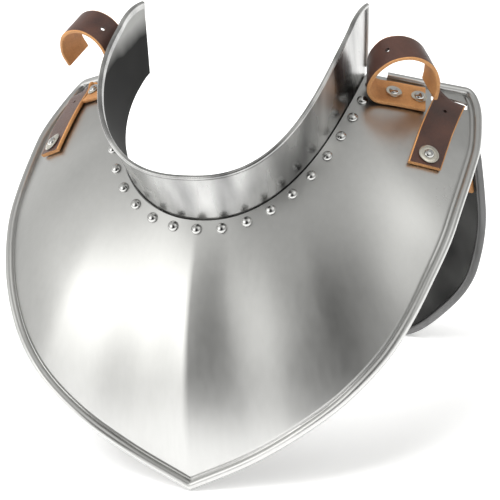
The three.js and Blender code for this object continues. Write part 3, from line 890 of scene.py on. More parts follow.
    def _washer_tree(self) -> bpy.types.NodeTree:
        """Flat rings with rounded edges on the mesh's points.

        Returns:
            The tree.
        """
        graph, source = self._open("washers", [
            ("Radius", "NodeSocketFloat", 0.0064), ("Hole", "NodeSocketFloat", 0.0017),
            ("Wall", "NodeSocketFloat", 0.001), ("Seed", "NodeSocketInt", 3)])
        outer, hole = graph.value(source, "Radius"), graph.value(source, "Hole")
        circle = "GeometryNodeCurvePrimitiveCircle"
        path = graph.node(circle, sockets={
            "Resolution": self.washer_segments, "Radius": (outer + hole) * 0.5})
        section = graph.node(circle, sockets={
            "Resolution": self.washer_sides, "Radius": (outer - hole) * 0.5})
        thin = graph.value(source, "Wall") / (outer - hole)
        flat = graph.node("ShaderNodeCombineXYZ", sockets={0: 1.0, 1: thin, 2: 1.0})
        squashed = graph.node("GeometryNodeTransform",
                              sockets={"Geometry": section.outputs[0], "Scale": flat.outputs[0]})
        ring = graph.node("GeometryNodeCurveToMesh",
                          sockets={"Curve": path.outputs[0], "Profile Curve": squashed.outputs[0]})
        return self._close(graph, self._scattered(graph, source, ring.outputs[0]), source)

    @staticmethod
    def run(made: bpy.types.Object, tree: bpy.types.NodeTree, values: dict[str, Any]) -> bpy.types.Object:
        """Runs a tree on an object and leaves a plain mesh.

        Args:
            made: The object with the path or the points.
            tree: The tree.
            values: Value of each named input.

        Returns:
            The same object.
        """
        modifier = made.modifiers.new(tree.name, "NODES")
        modifier.node_group = tree
        for item in tree.interface.items_tree:
            if item.item_type == "SOCKET" and item.in_out == "INPUT" and item.name in values:
                modifier[item.identifier] = values[item.name]
        return Workshop.plain(made)

    def roll(self, name: str, path: Array, radius: float, material: bpy.types.Material,
             sides: int = rim_sides) -> bpy.types.Object:
        """Rolled edge along a path.

        Args:
            name: The object's name.
            path: Points of the path.
            radius: Radius of the roll.
            material: Its finish.
            sides: Sides of its section.

        Returns:
            The roll.
        """
        made = Workshop.object_from(name, path, [], edges=[(i, i + 1) for i in range(len(path) - 1)])
        return self.run(made, self.rim, {"Radius": radius * MM, "Sides": sides, "Material": material})

    def scatter(self, name: str, seats: Sequence[tuple[Seat, float]], tree: bpy.types.NodeTree,
                values: dict[str, Any]) -> bpy.types.Object:
        """Sets a tree's shape on every seat.

        Args:
            name: The object's name.
            seats: Each seat and its size as a share of the shape.
            tree: The tree.
            values: Value of each named input.

        Returns:
            The piece.
        """
        made = Workshop.object_from(name, np.array([seat.point for seat, _ in seats]), [])
        facing = made.data.attributes.new("facing", "FLOAT_VECTOR", "POINT")
        facing.data.foreach_set("vector", np.array([seat.normal for seat, _ in seats]).ravel())
        size = made.data.attributes.new("size", "FLOAT", "POINT")
        size.data.foreach_set("value", [share for _, share in seats])
        return self.run(made, tree, values)

    def domes(self, name: str, seats: Sequence[tuple[Seat, float]], radius: float, height: float,
              seed: int, finishes: Finishes) -> bpy.types.Object:
        """Domed rivet heads on every seat.

        Args:
            name: The object's name.
            seats: Each seat and its size as a share of the head.
            radius: Radius of the head.
            height: Height of its dome.
            seed: Seed of the heads' spin.
            finishes: The finishes.

        Returns:
            The piece.
        """
        values = {"Radius": radius * MM, "Dome": height * MM, "Lip": RIVET_LIP * MM, "Seed": seed,
                  "Material": finishes.rivet}
        return Workshop.smooth(self.scatter(name, seats, self.rivets, values), self.dome_sharp)


# The plates' shapes


def column(rows: Rows, name: str, t: Array) -> Array:
    """Value of a table's column at shares of its rows.

    Args:
        rows: The table.
        name: The column.
        t: Shares from 0 to 1.

    Returns:
        The values.
    """
    return through(np.array([row[name] for row in rows], float), t)


def through(values: Array, t: Array) -> Array:
    """Curve through evenly spaced values that never overshoots them.

    Args:
        values: The values.
        t: Shares from 0 to 1.

    Returns:
        The curve's values.
    """
    last = len(values) - 1
    step = np.diff(values)
    slope = np.zeros(len(values))
    slope[0], slope[-1] = step[0], step[-1]
    before, after = step[:-1], step[1:]
    same = before * after > 0
    slope[1:-1] = np.where(same, 2 * before * after / np.where(same, before + after, 1.0), 0.0)
    place = np.clip(t, 0.0, 1.0) * last
    i = np.minimum(np.floor(place).astype(int), last - 1)
    s = place - i
    rise, start, end = step[i], slope[i], slope[i + 1]
    return values[i] + start * s + (3 * rise - 2 * start - end) * s ** 2 + (start + end - 2 * rise) * s ** 3


@dataclass(frozen=True)
class Stance:
    """How the front plate's own frame stands on the floor."""

    lean: float = math.radians(25.0)
    neck_height: float = 149.05
    neck_depth: float = -41.1

    def place(self, side: Any, drop: Any, out: Any) -> Array:
        """Point of the plate's own frame in the standing gorget.

        Args:
            side: To the wearer's left.
            drop: Down along the ridge's chord.
            out: Out from the chest.

        Returns:
            The points.
        """
        sin, cos = math.sin(self.lean), math.cos(self.lean)
        side, drop, out = np.broadcast_arrays(side, drop, out)
        back = self.neck_depth - sin * drop - cos * out
        up = self.neck_height - cos * drop + sin * out
        return np.stack([side, back, up], -1)

    @property
    def out(self) -> Array:
        """Direction out from the chest."""
        return self.place(0.0, 0.0, 1.0) - self.place(0.0, 0.0, 0.0)


@dataclass(frozen=True)
class OpeningLine:
    """Half of a rounded, slightly squared line that starts at the front and runs back and up."""

    stance: Stance
    start: tuple[float, float]
    half_width: float
    length: float
    tilt: float
    bend: float
    end: float
    squareness: float
    samples: int = 1600

    def raw(self, u: Array) -> Array:
        """Points at shares of the line's turn.

        Args:
            u: Shares from 0 to 1.

        Returns:
            The points.
        """
        turn, power = u * self.end, 2.0 / self.squareness
        side = self.half_width * np.sin(turn) ** power
        cosine = np.cos(turn)
        run = self.length * (1.0 - np.sign(cosine) * np.abs(cosine) ** power)
        tilt = self.tilt + self.bend * u ** 4
        return self.stance.place(side, self.start[0] - run * np.cos(tilt), self.start[1] - run * np.sin(tilt))

    def at(self, t: Array) -> Array:
        """Points at signed shares of the line's length, mirrored below 0.

        Args:
            t: Shares from -1 to 1.

        Returns:
            The points.
        """
        u = np.linspace(0.0, 1.0, self.samples)
        length = lengths(self.raw(u))
        share = np.minimum(np.abs(t), 1.0)
        found = np.interp(share * length[-1], length, u)
        placed = self.raw(found)
        placed[..., 0] *= np.where(np.asarray(t) < 0, -1.0, 1.0)
        return placed


class Surface:
    """A sheet's outer face over shares t from shoulder to shoulder and v across."""

    step = 1e-3
    outward = 1.0

    def point(self, t: Array, v: Array) -> Array:
        """Points of the outer face; each sheet has its own."""
        raise NotImplementedError

    def normal(self, t: Array, v: Array) -> Array:
        """Directions out of the face.

        Args:
            t: Shares along.
            v: Shares across.

        Returns:
            The normals.
        """
        t = np.clip(t, -1.0 + self.step, 1.0 - self.step)
        low = np.maximum(v - self.step, 0.0)
        across = self.point(t + self.step, v) - self.point(t - self.step, v)
        along = self.point(t, low + 2 * self.step) - self.point(t, low)
        return unit(np.cross(across, along)) * self.outward

    def reach(self, t: Array) -> Array:
        """Distance across the sheet."""
        return np.linalg.norm(self.point(t, np.ones_like(t)) - self.point(t, np.zeros_like(t)), axis=-1)


@dataclass(frozen=True)
class RimSizes:
    """Sizes of a plate's rolled rim and its shoulder corner."""

    radius: float = 2.8
    inset: float = 3.4
    lift: float = 0.85
    corner: float = 8.0
    corner_share: float = 0.05

    def end(self, surface: Surface, t: Array) -> Array:
        """Share of v where the rim runs.

        Args:
            surface: The sheet.
            t: Shares along it.

        Returns:
            The shares across.
        """
        s = np.clip((np.abs(t) - 1 + self.corner_share) / self.corner_share, 0.0, 1.0)
        return 1.0 - (self.inset + self.corner * (1.0 - np.sqrt(1.0 - s ** 2))) / surface.reach(t)

    def stations(self, count: int, turns: int = 14) -> Array:
        """Shares along the sheet, close together where the corners turn.

        Args:
            count: Stations along half the sheet.
            turns: Stations in each corner.

        Returns:
            The shares from -1 to 1.
        """
        run = np.linspace(0.0, 1.0 - self.corner_share, count)
        turn = 1.0 - self.corner_share * (1.0 - np.sin(np.linspace(0.0, math.pi / 2, turns)[1:]))
        half = np.concatenate([run, turn])
        return np.concatenate([-half[:0:-1], half])


@dataclass(frozen=True)
class FrontSurface(Surface):
    """Outer face of the front plate from the neck line to the outline."""

    stance: Stance = field(default_factory=Stance)
    ridge_length: float = 164.9
    ridge_bow: float = 16.2
    half_width: float = 151.0
    rise: float = 79.5
    depth: float = 118.0
    neck_half_width: float = 75.6
    neck_length: float = 111.0
    neck_tilt: float = math.radians(32.5)
    neck_bend: float = math.radians(9.3)
    neck_end: float = math.radians(95.0)
    neck_squareness: float = 2.19
    outward: float = -1.0
    guess: tuple[float, float] = (0.8, 0.5)
    tries: int = 30
    rows: tuple[Row, ...] = table(
        "side drop rise back swell",
        (0.0, 1.0, 0.0, 0.0, 1.0),
        (0.259, 0.892, 0.0, -0.01, 0.72),
        (0.482, 0.77, 0.0, -0.036, 0.64),
        (0.677, 0.627, 0.0, -0.013, 0.66),
        (0.832, 0.447, 0.0, 0.07, 0.68),
        (0.93, 0.237, 0.0, 0.188, 0.66),
        (0.988, 0.01, 0.0, 0.384, 0.6),
        (1.0, 0.0, 0.49, 0.678, 0.46),
        (0.93, 0.0, 1.0, 1.0, 0.3),
    )

    @property
    def neck(self) -> OpeningLine:
        """The neck line."""
        return OpeningLine(self.stance, (0.0, 0.0), self.neck_half_width, self.neck_length, self.neck_tilt,
                           self.neck_bend, self.neck_end, self.neck_squareness)

    def outline(self, t: Array) -> Array:
        """Points of the outline.

        Args:
            t: Shares from -1 to 1.

        Returns:
            The points.
        """
        share = np.abs(t)
        drops = [row["drop"] * self.ridge_length - row["rise"] * self.rise for row in self.rows]
        drop = through(np.array(drops), share)
        side = column(self.rows, "side", share) * self.half_width * np.where(np.asarray(t) < 0, -1.0, 1.0)
        return self.stance.place(side, drop, -column(self.rows, "back", share) * self.depth)

    def point(self, t: Array, v: Array) -> Array:
        """Points of the outer face.

        Args:
            t: Shares along, -1 to 1.
            v: Shares across, 0 to 1.

        Returns:
            The points.
        """
        t, v = np.broadcast_arrays(np.asarray(t, float), np.asarray(v, float))
        swell = 4 * v * (1 - v) * column(self.rows, "swell", np.abs(t)) * self.ridge_bow
        flat = self.neck.at(t) * (1 - v)[..., None] + self.outline(t) * v[..., None]
        return flat + swell[..., None] * self.stance.out

    def find(self, side: float, drop: float) -> Seat:
        """Seat on the left half at a side and a drop in the plate's own frame.

        Args:
            side: To the wearer's left.
            drop: Down along the ridge's chord.

        Returns:
            The seat.
        """
        t, v = self.guess
        start = self.stance.place(0.0, 0.0, 0.0)
        down = self.stance.place(0.0, 1.0, 0.0) - start

        def miss(a: float, b: float) -> Array:
            """How far the face's point is from the wanted side and drop."""
            point = self.point(np.array(a), np.array(b))
            return np.array([point[0] - side, (point - start) @ down - drop])

        for _ in range(self.tries):
            here = miss(t, v)
            slope = np.stack([miss(t + self.step, v) - here, miss(t, v + self.step) - here], 1) / self.step
            move = np.linalg.solve(slope, here)
            t = float(np.clip(t - move[0], 0.0, 1 - self.step))
            v = float(np.clip(v - move[1], 0.0, 1.0))
        return Seat(self.point(np.array(t), np.array(v)), self.normal(np.array(t), np.array(v)))


@dataclass(frozen=True)
class BackSurface(Surface):
    """Outer face of the back plate from its neck edge to its outer edge."""

    stance: Stance = field(default_factory=Stance)
    half_width: float = 141.0
    neck_half_width: float = 113.0
    height: float = 156.0
    depth: float = 160.0
    tuck: float = 18.0
    radius: float = 260.0
    foot: float = 0.7
    rows: tuple[Row, ...] = table(
        "neck_side neck_up edge_side edge_up",
        (0.0, 0.45, 0.0, 0.0),
        (0.44, 0.46, 0.25, 0.0),
        (0.74, 0.51, 0.47, 0.0),
        (0.94, 0.6, 0.73, 0.15),
        (0.995, 0.76, 0.91, 0.36),
        (1.0, 0.9, 0.99, 0.64),
        (1.0, 1.0, 1.0, 0.94),
    )

    def depth_at(self, side: Any, up: Any) -> Any:
        """Depth of the outer face at a side and a share of the height."""
        return self.depth + self.stance.neck_depth - self.tuck * (1 - up) ** 2 - side ** 2 / (2 * self.radius)

    def point(self, t: Array, v: Array) -> Array:
        """Points of the outer face.

        Args:
            t: Shares along, -1 to 1.
            v: Shares across, 0 to 1.

        Returns:
            The points.
        """
        t, v = np.broadcast_arrays(np.asarray(t, float), np.asarray(v, float))
        share = np.abs(t)
        neck_side = column(self.rows, "neck_side", share) * self.neck_half_width
        edge_side = column(self.rows, "edge_side", share) * self.half_width
        up = column(self.rows, "neck_up", share) * (1 - v) + column(self.rows, "edge_up", share) * v
        side = (neck_side * (1 - v) + edge_side * v) * np.sign(t)
        return np.stack([side, self.depth_at(side, up), up * self.height - self.foot], -1)


@dataclass
class Sheet:
    """A plate of one wall with its rolled edges."""

    surface: Surface
    rim: RimSizes = field(default_factory=RimSizes)
    wall: float = 1.4
    half_stations: int = 90
    across: int = 40
    groove: float = 0.45
    groove_width: float = 0.9
    rim_band: float = 9.0
    rim_rows: int = 19
    edge_rows: int = 30

    def shares(self, t: float, start: float) -> Array:
        """Shares across at a station, closer together beside the rim.

        Args:
            t: The station.
            start: Distance of the first share from the neck edge.

        Returns:
            The shares.
        """
        reach = float(self.surface.reach(np.array(t)))
        end = float(self.rim.end(self.surface, np.array(t)))
        near = self.rim_band / reach
        wide = np.linspace(start / reach, end - near, self.across)
        return np.concatenate([wide, np.linspace(end - near, end, self.rim_rows)[1:]])

    def body(self, name: str, start: float, materials: Sequence[bpy.types.Material]) -> bpy.types.Object:
        """The wall from the neck edge to the rim.

        Args:
            name: The object's name.
            start: Distance of its inner edge from the neck line.
            materials: Finish of its outer face and, where it differs, of its inner one.

        Returns:
            The wall.
        """
        loops = []
        for t in self.rim.stations(self.half_stations):
            v = self.shares(float(t), start)
            along = np.full_like(v, t)
            points, normals = self.surface.point(along, v), self.surface.normal(along, v)
            reach = float(self.surface.reach(np.array(t)))
            off = (v[-1] - v) * reach - self.rim.radius - self.groove_width
            dip = self.groove * np.exp(-((off / self.groove_width) ** 2))
            outer = points - normals * dip[:, None]
            inner = points - normals * self.wall
            loops.append(np.concatenate([outer, inner[::-1]]))
        return self._grid(name, np.array(loops), materials)

    @staticmethod
    def _grid(name: str, loops: Array, materials: Sequence[bpy.types.Material]) -> bpy.types.Object:
        """Closed body of flat loops, its ends capped by strips.

        Args:
            name: The object's name.
            loops: Points as stations by corners by three, the outer half first.
            materials: Finish of its outer face and, where it differs, of its inner one.

        Returns:
            The body.
        """
        stations, corners = loops.shape[:2]
        half = corners // 2
        inner = [len(materials) - 1] * (half - 1)
        faces, slots = Workshop.quads(stations, corners), ([0] * half + inner + [0]) * (stations - 1)
        for start in (0, (stations - 1) * corners):
            last = start + corners - 1
            for j in range(half - 1):
                faces.append((start + j, start + j + 1, last - 1 - j, last - j))
                slots.append(0)
        made = Workshop.object_from(name, loops, faces, materials, slots)
        return Workshop.outward(made, 1e-8)

    def rim_path(self, start: float) -> Array:
        """Path of the rim: in along one shoulder edge, round the outline and in again.

        Args:
            start: Share of the shoulder edge where the rim starts.

        Returns:
            The points.
        """
        t = self.rim.stations(self.half_stations * 2)
        end = self.rim.end(self.surface, t)
        shoulder = float(self.rim.end(self.surface, np.array(1.0)))
        edge = np.linspace(start, 1.0, self.edge_rows)[:-1] * shoulder
        along = np.concatenate([np.full(edge.shape, -1.0), t, np.full(edge.shape, 1.0)])
        across = np.concatenate([edge, end, edge[::-1]])
        return self.surface.point(along, across) + self.surface.normal(along, across) * self.rim.lift


# The pieces


@dataclass
class FrontPlate:
    """Ridged breast plate with its rolled rim and the slots of the connecting straps."""

    surface: FrontSurface = field(default_factory=FrontSurface)
    seam: float = 0.45
    flange: float = 11.5
    strap_side: float = 125.5
    slot_rise: float = 75.0
    slot_size: tuple[float, float, float] = (24.0, 14.0, 6.4)
    slot_power: float = 0.35
    slot_sides: int = 32
    sharp: float = 24.0

    @property
    def shoulder_run(self) -> Array:
        """Direction of the shoulder's edge from the neck outwards."""
        return unit(self.surface.outline(np.array(1.0)) - self.surface.neck.at(np.array(1.0)))

    def edge_along(self, seat: Seat) -> Array:
        """The shoulder's direction laid flat on a seat."""
        return unit(self.shoulder_run - seat.normal * (self.shoulder_run @ seat.normal))

    def slot_cutter(self, side: Side) -> bpy.types.Object:
        """Rounded box through the slot.

        Args:
            side: The shoulder.

        Returns:
            The cutter.
        """
        seat = self.surface.find(self.strap_side, -self.slot_rise)
        along = self.edge_along(seat)
        deep = np.cross(along, seat.normal)
        length, height, width = self.slot_size
        turns = np.linspace(0.0, 2.0 * math.pi, self.slot_sides, endpoint=False) + math.pi / self.slot_sides
        cos, sin = np.cos(turns), np.sin(turns)
        ring = (np.sign(cos) * np.abs(cos) ** self.slot_power * length / 2)[:, None] * along
        ring = ring + (np.sign(sin) * np.abs(sin) ** self.slot_power * width / 2)[:, None] * deep
        loops = np.stack([seat.point + ring + seat.normal * d for d in (-height / 2, height / 2)])
        return Workshop.swept("slot_cutter", loops * side.flip, ())

    def build(self, fitter: Fitter, finishes: Finishes) -> None:
        """Makes the plate, its rim and its slots.

        Args:
            fitter: The trees.
            finishes: The finishes.
        """
        sheet = Sheet(self.surface)
        body = sheet.body("front_plate_sheet", self.seam, [finishes.plate])
        Workshop.cut(body, [self.slot_cutter(side) for side in Side])
        start = (self.flange + 2 * sheet.rim.radius) / float(self.surface.reach(np.array(1.0)))
        rim = fitter.roll("front_rim", sheet.rim_path(start), sheet.rim.radius, finishes.plate)
        Workshop.join(body, [rim])
        Workshop.smooth(body, self.sharp)
        Workshop.flatten_foot(body)
        Workshop.hand_over(body, "front_steel", ["front_plate"])


@dataclass
class Collar:
    """Standing half collar with a flange under the front plate."""

    surface: FrontSurface = field(default_factory=FrontSurface)
    front_height: float = 32.7
    lean: float = math.radians(38.0)
    top_half_width: float = 77.6
    top_length: float = 115.7
    top_tilt: float = math.radians(25.6)
    top_bend: float = math.radians(16.4)
    top_end: float = math.radians(100.2)
    top_squareness: float = 2.5
    wall: float = 1.4
    gap: float = 0.3
    bead: float = 1.6
    bead_sides: int = 16
    knob: float = 1.03
    knob_sides: tuple[int, int] = (18, 12)
    end_start: float = 0.1
    end_stations: int = 30
    top_stations: int = 260
    flange: float = 11.5
    half_stations: int = 100
    rows: int = 16
    bends: int = 5
    sharp: float = 40.0

    @property
    def top(self) -> OpeningLine:
        """Line of the top edge.

        Returns:
            The line.
        """
        start = (-self.front_height * math.cos(self.lean), self.front_height * math.sin(self.lean))
        return OpeningLine(self.surface.stance, start, self.top_half_width, self.top_length, self.top_tilt,
                           self.top_bend, self.top_end, self.top_squareness)

    def section(self, t: float) -> Array:
        """Loop of the collar's wall and flange at a station.

        Args:
            t: The station.

        Returns:
            The points, outside first.
        """
        step = self.surface.step
        here = np.array(t)
        reach = float(self.surface.reach(here))
        edge = self.flange / reach
        under = self.wall + self.gap

        def low(v: Array, depth: float) -> Array:
            """Points under the front plate."""
            along = np.full_like(v, t)
            return self.surface.point(along, v) - self.surface.normal(along, v) * depth

        line, top = self.surface.neck, self.top.at(here)
        rise = unit(top - line.at(here))
        inside = float(np.clip(t, -1 + step, 1 - step))
        run = unit(line.at(np.array(inside + step)) - line.at(np.array(inside - step)))
        outward = unit(np.cross(run, rise))
        flange = np.linspace(edge, 0.0, self.bends)
        bend = low(np.array([0.0]), under)[0]
        share = np.linspace(0.0, 1.0, self.rows)[1:, None]
        outer = bend * (1 - share) + top * share
        deep = low(np.array([0.0]), under + self.wall)[0] - outward * self.wall
        inner = deep * (1 - share) + (top - outward * self.wall) * share
        return np.concatenate([low(flange, under), outer, inner[::-1], [deep],
                               low(flange[:-1], under + self.wall)[::-1]])

    def slots(self) -> list[int]:
        """Finish of each side of the section: the flange and the outer face, then the inner face."""
        outside, inside = self.bends + self.rows - 1, self.rows
        return [0] * (outside + 1) + [1] * inside + [0] * (self.bends - 2)

    def build(self, fitter: Fitter, finishes: Finishes) -> None:
        """Makes the collar and its rolled edges.

        Args:
            fitter: The trees.
            finishes: The finishes.
        """
        stations = np.linspace(-1.0, 1.0, 2 * self.half_stations + 1)
        loops = np.array([self.section(float(t)) for t in stations])
        body = Workshop.swept("collar_piece", loops, [finishes.collar, finishes.collar_inside], self.slots())
        paths = [self.top.at(np.linspace(-1.0, 1.0, self.top_stations))]
        knobs = []
        for side in Side:
            share = np.linspace(self.end_start, 1.0, self.end_stations)[:, None]
            here = np.array(float(side.value))
            paths.append(self.surface.neck.at(here) * (1 - share) + self.top.at(here) * share)
            knobs.append(self._knob(self.top.at(here), finishes.collar))
        rolls = [fitter.roll("collar_roll", path, self.bead, finishes.collar, self.bead_sides)
                 for path in paths]
        Workshop.join(body, [*rolls, *knobs])
        Workshop.smooth(body, self.sharp)
        Workshop.hand_over(body, "collar_steel", ["collar"])

    def _knob(self, point: Array, material: bpy.types.Material) -> bpy.types.Object:
        """Round end where two rolls meet.

        Args:
            point: Where it goes.
            material: Its finish.

        Returns:
            The knob.
        """
        ball = bmesh.new()
        round_sides, rings = self.knob_sides
        radius = self.bead * self.knob * MM
        bmesh.ops.create_uvsphere(ball, u_segments=round_sides, v_segments=rings, radius=radius)
        bmesh.ops.translate(ball, verts=ball.verts, vec=Vector(point * MM))
        mesh = bpy.data.meshes.new("knob")
        ball.to_mesh(mesh)
        ball.free()
        mesh.materials.append(material)
        return Workshop.linked("knob", mesh)


@dataclass
class CollarRivets:
    """Dome rivets, evenly spaced along the collar's lower edge."""

    surface: FrontSurface = field(default_factory=FrontSurface)
    each_side: int = 10
    spacing: float = 16.17
    inset: float = 6.2
    head: float = 3.4
    dome: float = 2.4
    gap: float = 0.3
    stack: float = 3.1
    tail_gap: float = 0.9
    tail_head: float = 2.3
    samples: int = 1601
    seed: int = 7

    def seats(self) -> list[Seat]:
        """Seats from the right end to the left.

        Returns:
            The seats.
        """
        surface, step = self.surface, self.surface.step
        t = np.minimum(np.linspace(0.0, 1.0, self.samples), 1 - step)
        start = surface.point(t, np.zeros_like(t))
        out = (surface.point(t, np.full_like(t, step)) - start) / step
        run = unit(surface.neck.at(t + step) - start)
        out = out - run * np.sum(out * run, axis=1, keepdims=True)
        v = self.inset / np.linalg.norm(out, axis=1)
        length = lengths(surface.point(t, v))
        wanted = np.arange(self.each_side + 1) * self.spacing
        at, across = np.interp(wanted, length, t), np.interp(wanted, length, v)
        half = [Seat(surface.point(a, b), surface.normal(a, b))
                for a, b in zip(map(np.array, at), map(np.array, across))]
        half[0] = Seat(half[0].point, unit(half[0].normal * np.array([0.0, 1.0, 1.0])))
        return [seat.on(Side.RIGHT) for seat in half[:0:-1]] + half

    def build(self, fitter: Fitter, finishes: Finishes) -> None:
        """Makes the heads outside and the peened tails inside.

        Args:
            fitter: The trees.
            finishes: The finishes.
        """
        seats = self.seats()
        under, small = self.stack + self.tail_gap, self.tail_head / self.head
        places = [(seat.raised(self.gap), 1.0) for seat in seats]
        places += [(seat.turned().raised(under), small) for seat in seats]
        made = fitter.domes("collar_rivets", places, self.head, self.dome, self.seed, finishes)
        Workshop.hand_over(made, "rivet_steel", [f"collar_rivet_{i + 1:02d}" for i in range(len(seats))])


@dataclass
class BackPlate:
    """Low back plate with its rolled rim and rolled neck edge."""

    surface: BackSurface = field(default_factory=BackSurface)
    neck_bead: float = 1.4
    bead_sides: int = 16
    half_stations: int = 120
    sharp: float = 30.0

    def build(self, fitter: Fitter, finishes: Finishes) -> None:
        """Makes the plate and its rims.

        Args:
            fitter: The trees.
            finishes: The finishes.
        """
        sheet = Sheet(self.surface, rim=RimSizes(lift=0.0), across=24)
        body = sheet.body("back_plate_sheet", 0.0, [finishes.back, finishes.back_inside])
        t = sheet.rim.stations(self.half_stations)
        edge = np.zeros_like(t)
        rim = self.surface.point(t, sheet.rim.end(self.surface, t))
        neck = self.surface.point(t, edge) - self.surface.normal(t, edge) * sheet.wall / 2
        rolls = [fitter.roll("back_rim", rim, sheet.rim.radius, finishes.back),
                 fitter.roll("back_neck_rim", neck, self.neck_bead, finishes.back, self.bead_sides)]
        Workshop.join(body, rolls)
        Workshop.smooth(body, self.sharp)
        Workshop.flatten_foot(body)
        Workshop.hand_over(body, "back_steel", ["back_plate"])


@dataclass(frozen=True)
class StrapFrames:
    """Stations of a strap: centre, face normal and width direction."""

    point: Array
    normal: Array
    across: Array

    def refined(self, times: int = 8) -> "StrapFrames":
        """The same strap on a smooth curve through the stations.

        Args:
            times: Steps between two stations.

        Returns:
            The finer stations.
        """
        count = len(self.point)
        place = np.linspace(0, count - 1, (count - 1) * times + 1)
        i = np.minimum(place.astype(int), count - 2)
        s = (place - i)[:, None]

        def curve(values: Array) -> Array:
            """Values on a smooth curve through the stations' own.

            Args:
                values: The stations' values.

            Returns:
                The finer values.
            """
            padded = np.concatenate([[2 * values[0] - values[1]], values, [2 * values[-1] - values[-2]]])
            a, b, c, d = padded[i], padded[i + 1], padded[i + 2], padded[i + 3]
            return 0.5 * (2 * b + (c - a) * s + (2 * a - 5 * b + 4 * c - d) * s ** 2
                          + (3 * b - a - 3 * c + d) * s ** 3)

        across = unit(curve(self.across))
        normal = curve(self.normal)
        normal = unit(normal - across * np.sum(normal * across, axis=1, keepdims=True))
        return StrapFrames(curve(self.point), normal, across)

    def on(self, side: Side) -> "StrapFrames":
        """The strap on a side."""
        return StrapFrames(self.point * side.flip, self.normal * side.flip, self.across * side.flip)

    def seat(self, station: int) -> Seat:
        """Seat at a station."""
        return Seat(self.point[station], self.normal[station])


@dataclass
class StrapMaker:
    """Makes a leather strap with softened edges and punched holes."""

    width: float
    wall: float
    soft: float = 0.7
    steps: int = 8
    arc_points: int = 5
    punch: float = 4.0
    sharp: float = 45.0

    def section(self) -> tuple[Array, list[int]]:
        """Corners of the section and the finish of each side.

        Returns:
            Width and face offsets, and the material numbers.
        """
        half, thick = self.width / 2 - self.soft, self.wall / 2 - self.soft
        corners = []
        for side, face, start in ((1, 1, 90.0), (1, -1, 0.0), (-1, -1, -90.0), (-1, 1, 180.0)):
            for turn in np.radians(np.linspace(start, start - 90.0, self.arc_points)):
                corners.append((half * side + self.soft * math.cos(turn),
                                thick * face + self.soft * math.sin(turn)))
        slots = [Face.FLESH.value] * (len(corners) - 1) + [Face.GRAIN.value]
        offsets, kinds = [], []
        for slot, here, after in zip(slots, corners, corners[1:] + corners[:1]):
            parts = self.steps if math.dist(here, after) > self.width / 2 else 1
            across, through_wall = after[0] - here[0], after[1] - here[1]
            for p in range(parts):
                offsets.append((here[0] + across * p / parts, here[1] + through_wall * p / parts))
                kinds.append(slot)
        return np.array(offsets), kinds

    def make(self, name: str, frames: StrapFrames, side: Side, holes: Sequence[Seat], hole: float,
             finishes: Finishes) -> bpy.types.Object:
        """Makes the strap.

        Args:
            name: The piece's name.
            frames: Its stations.
            side: The shoulder.
            holes: Where it is punched.
            hole: Radius of the holes.
            finishes: The finishes.

        Returns:
            The strap.
        """
        placed = frames.on(side)
        offsets, kinds = self.section()
        loops = (placed.point[:, None] + offsets[None, :, :1] * placed.across[:, None]
                 + offsets[None, :, 1:] * placed.normal[:, None])
        made = Workshop.swept(name, loops, [finishes.grain, finishes.flesh], kinds)
        if holes:
            Workshop.cut(made, [Workshop.post(seat.on(side), hole, self.punch) for seat in holes])
        return Workshop.smooth(made, self.sharp)


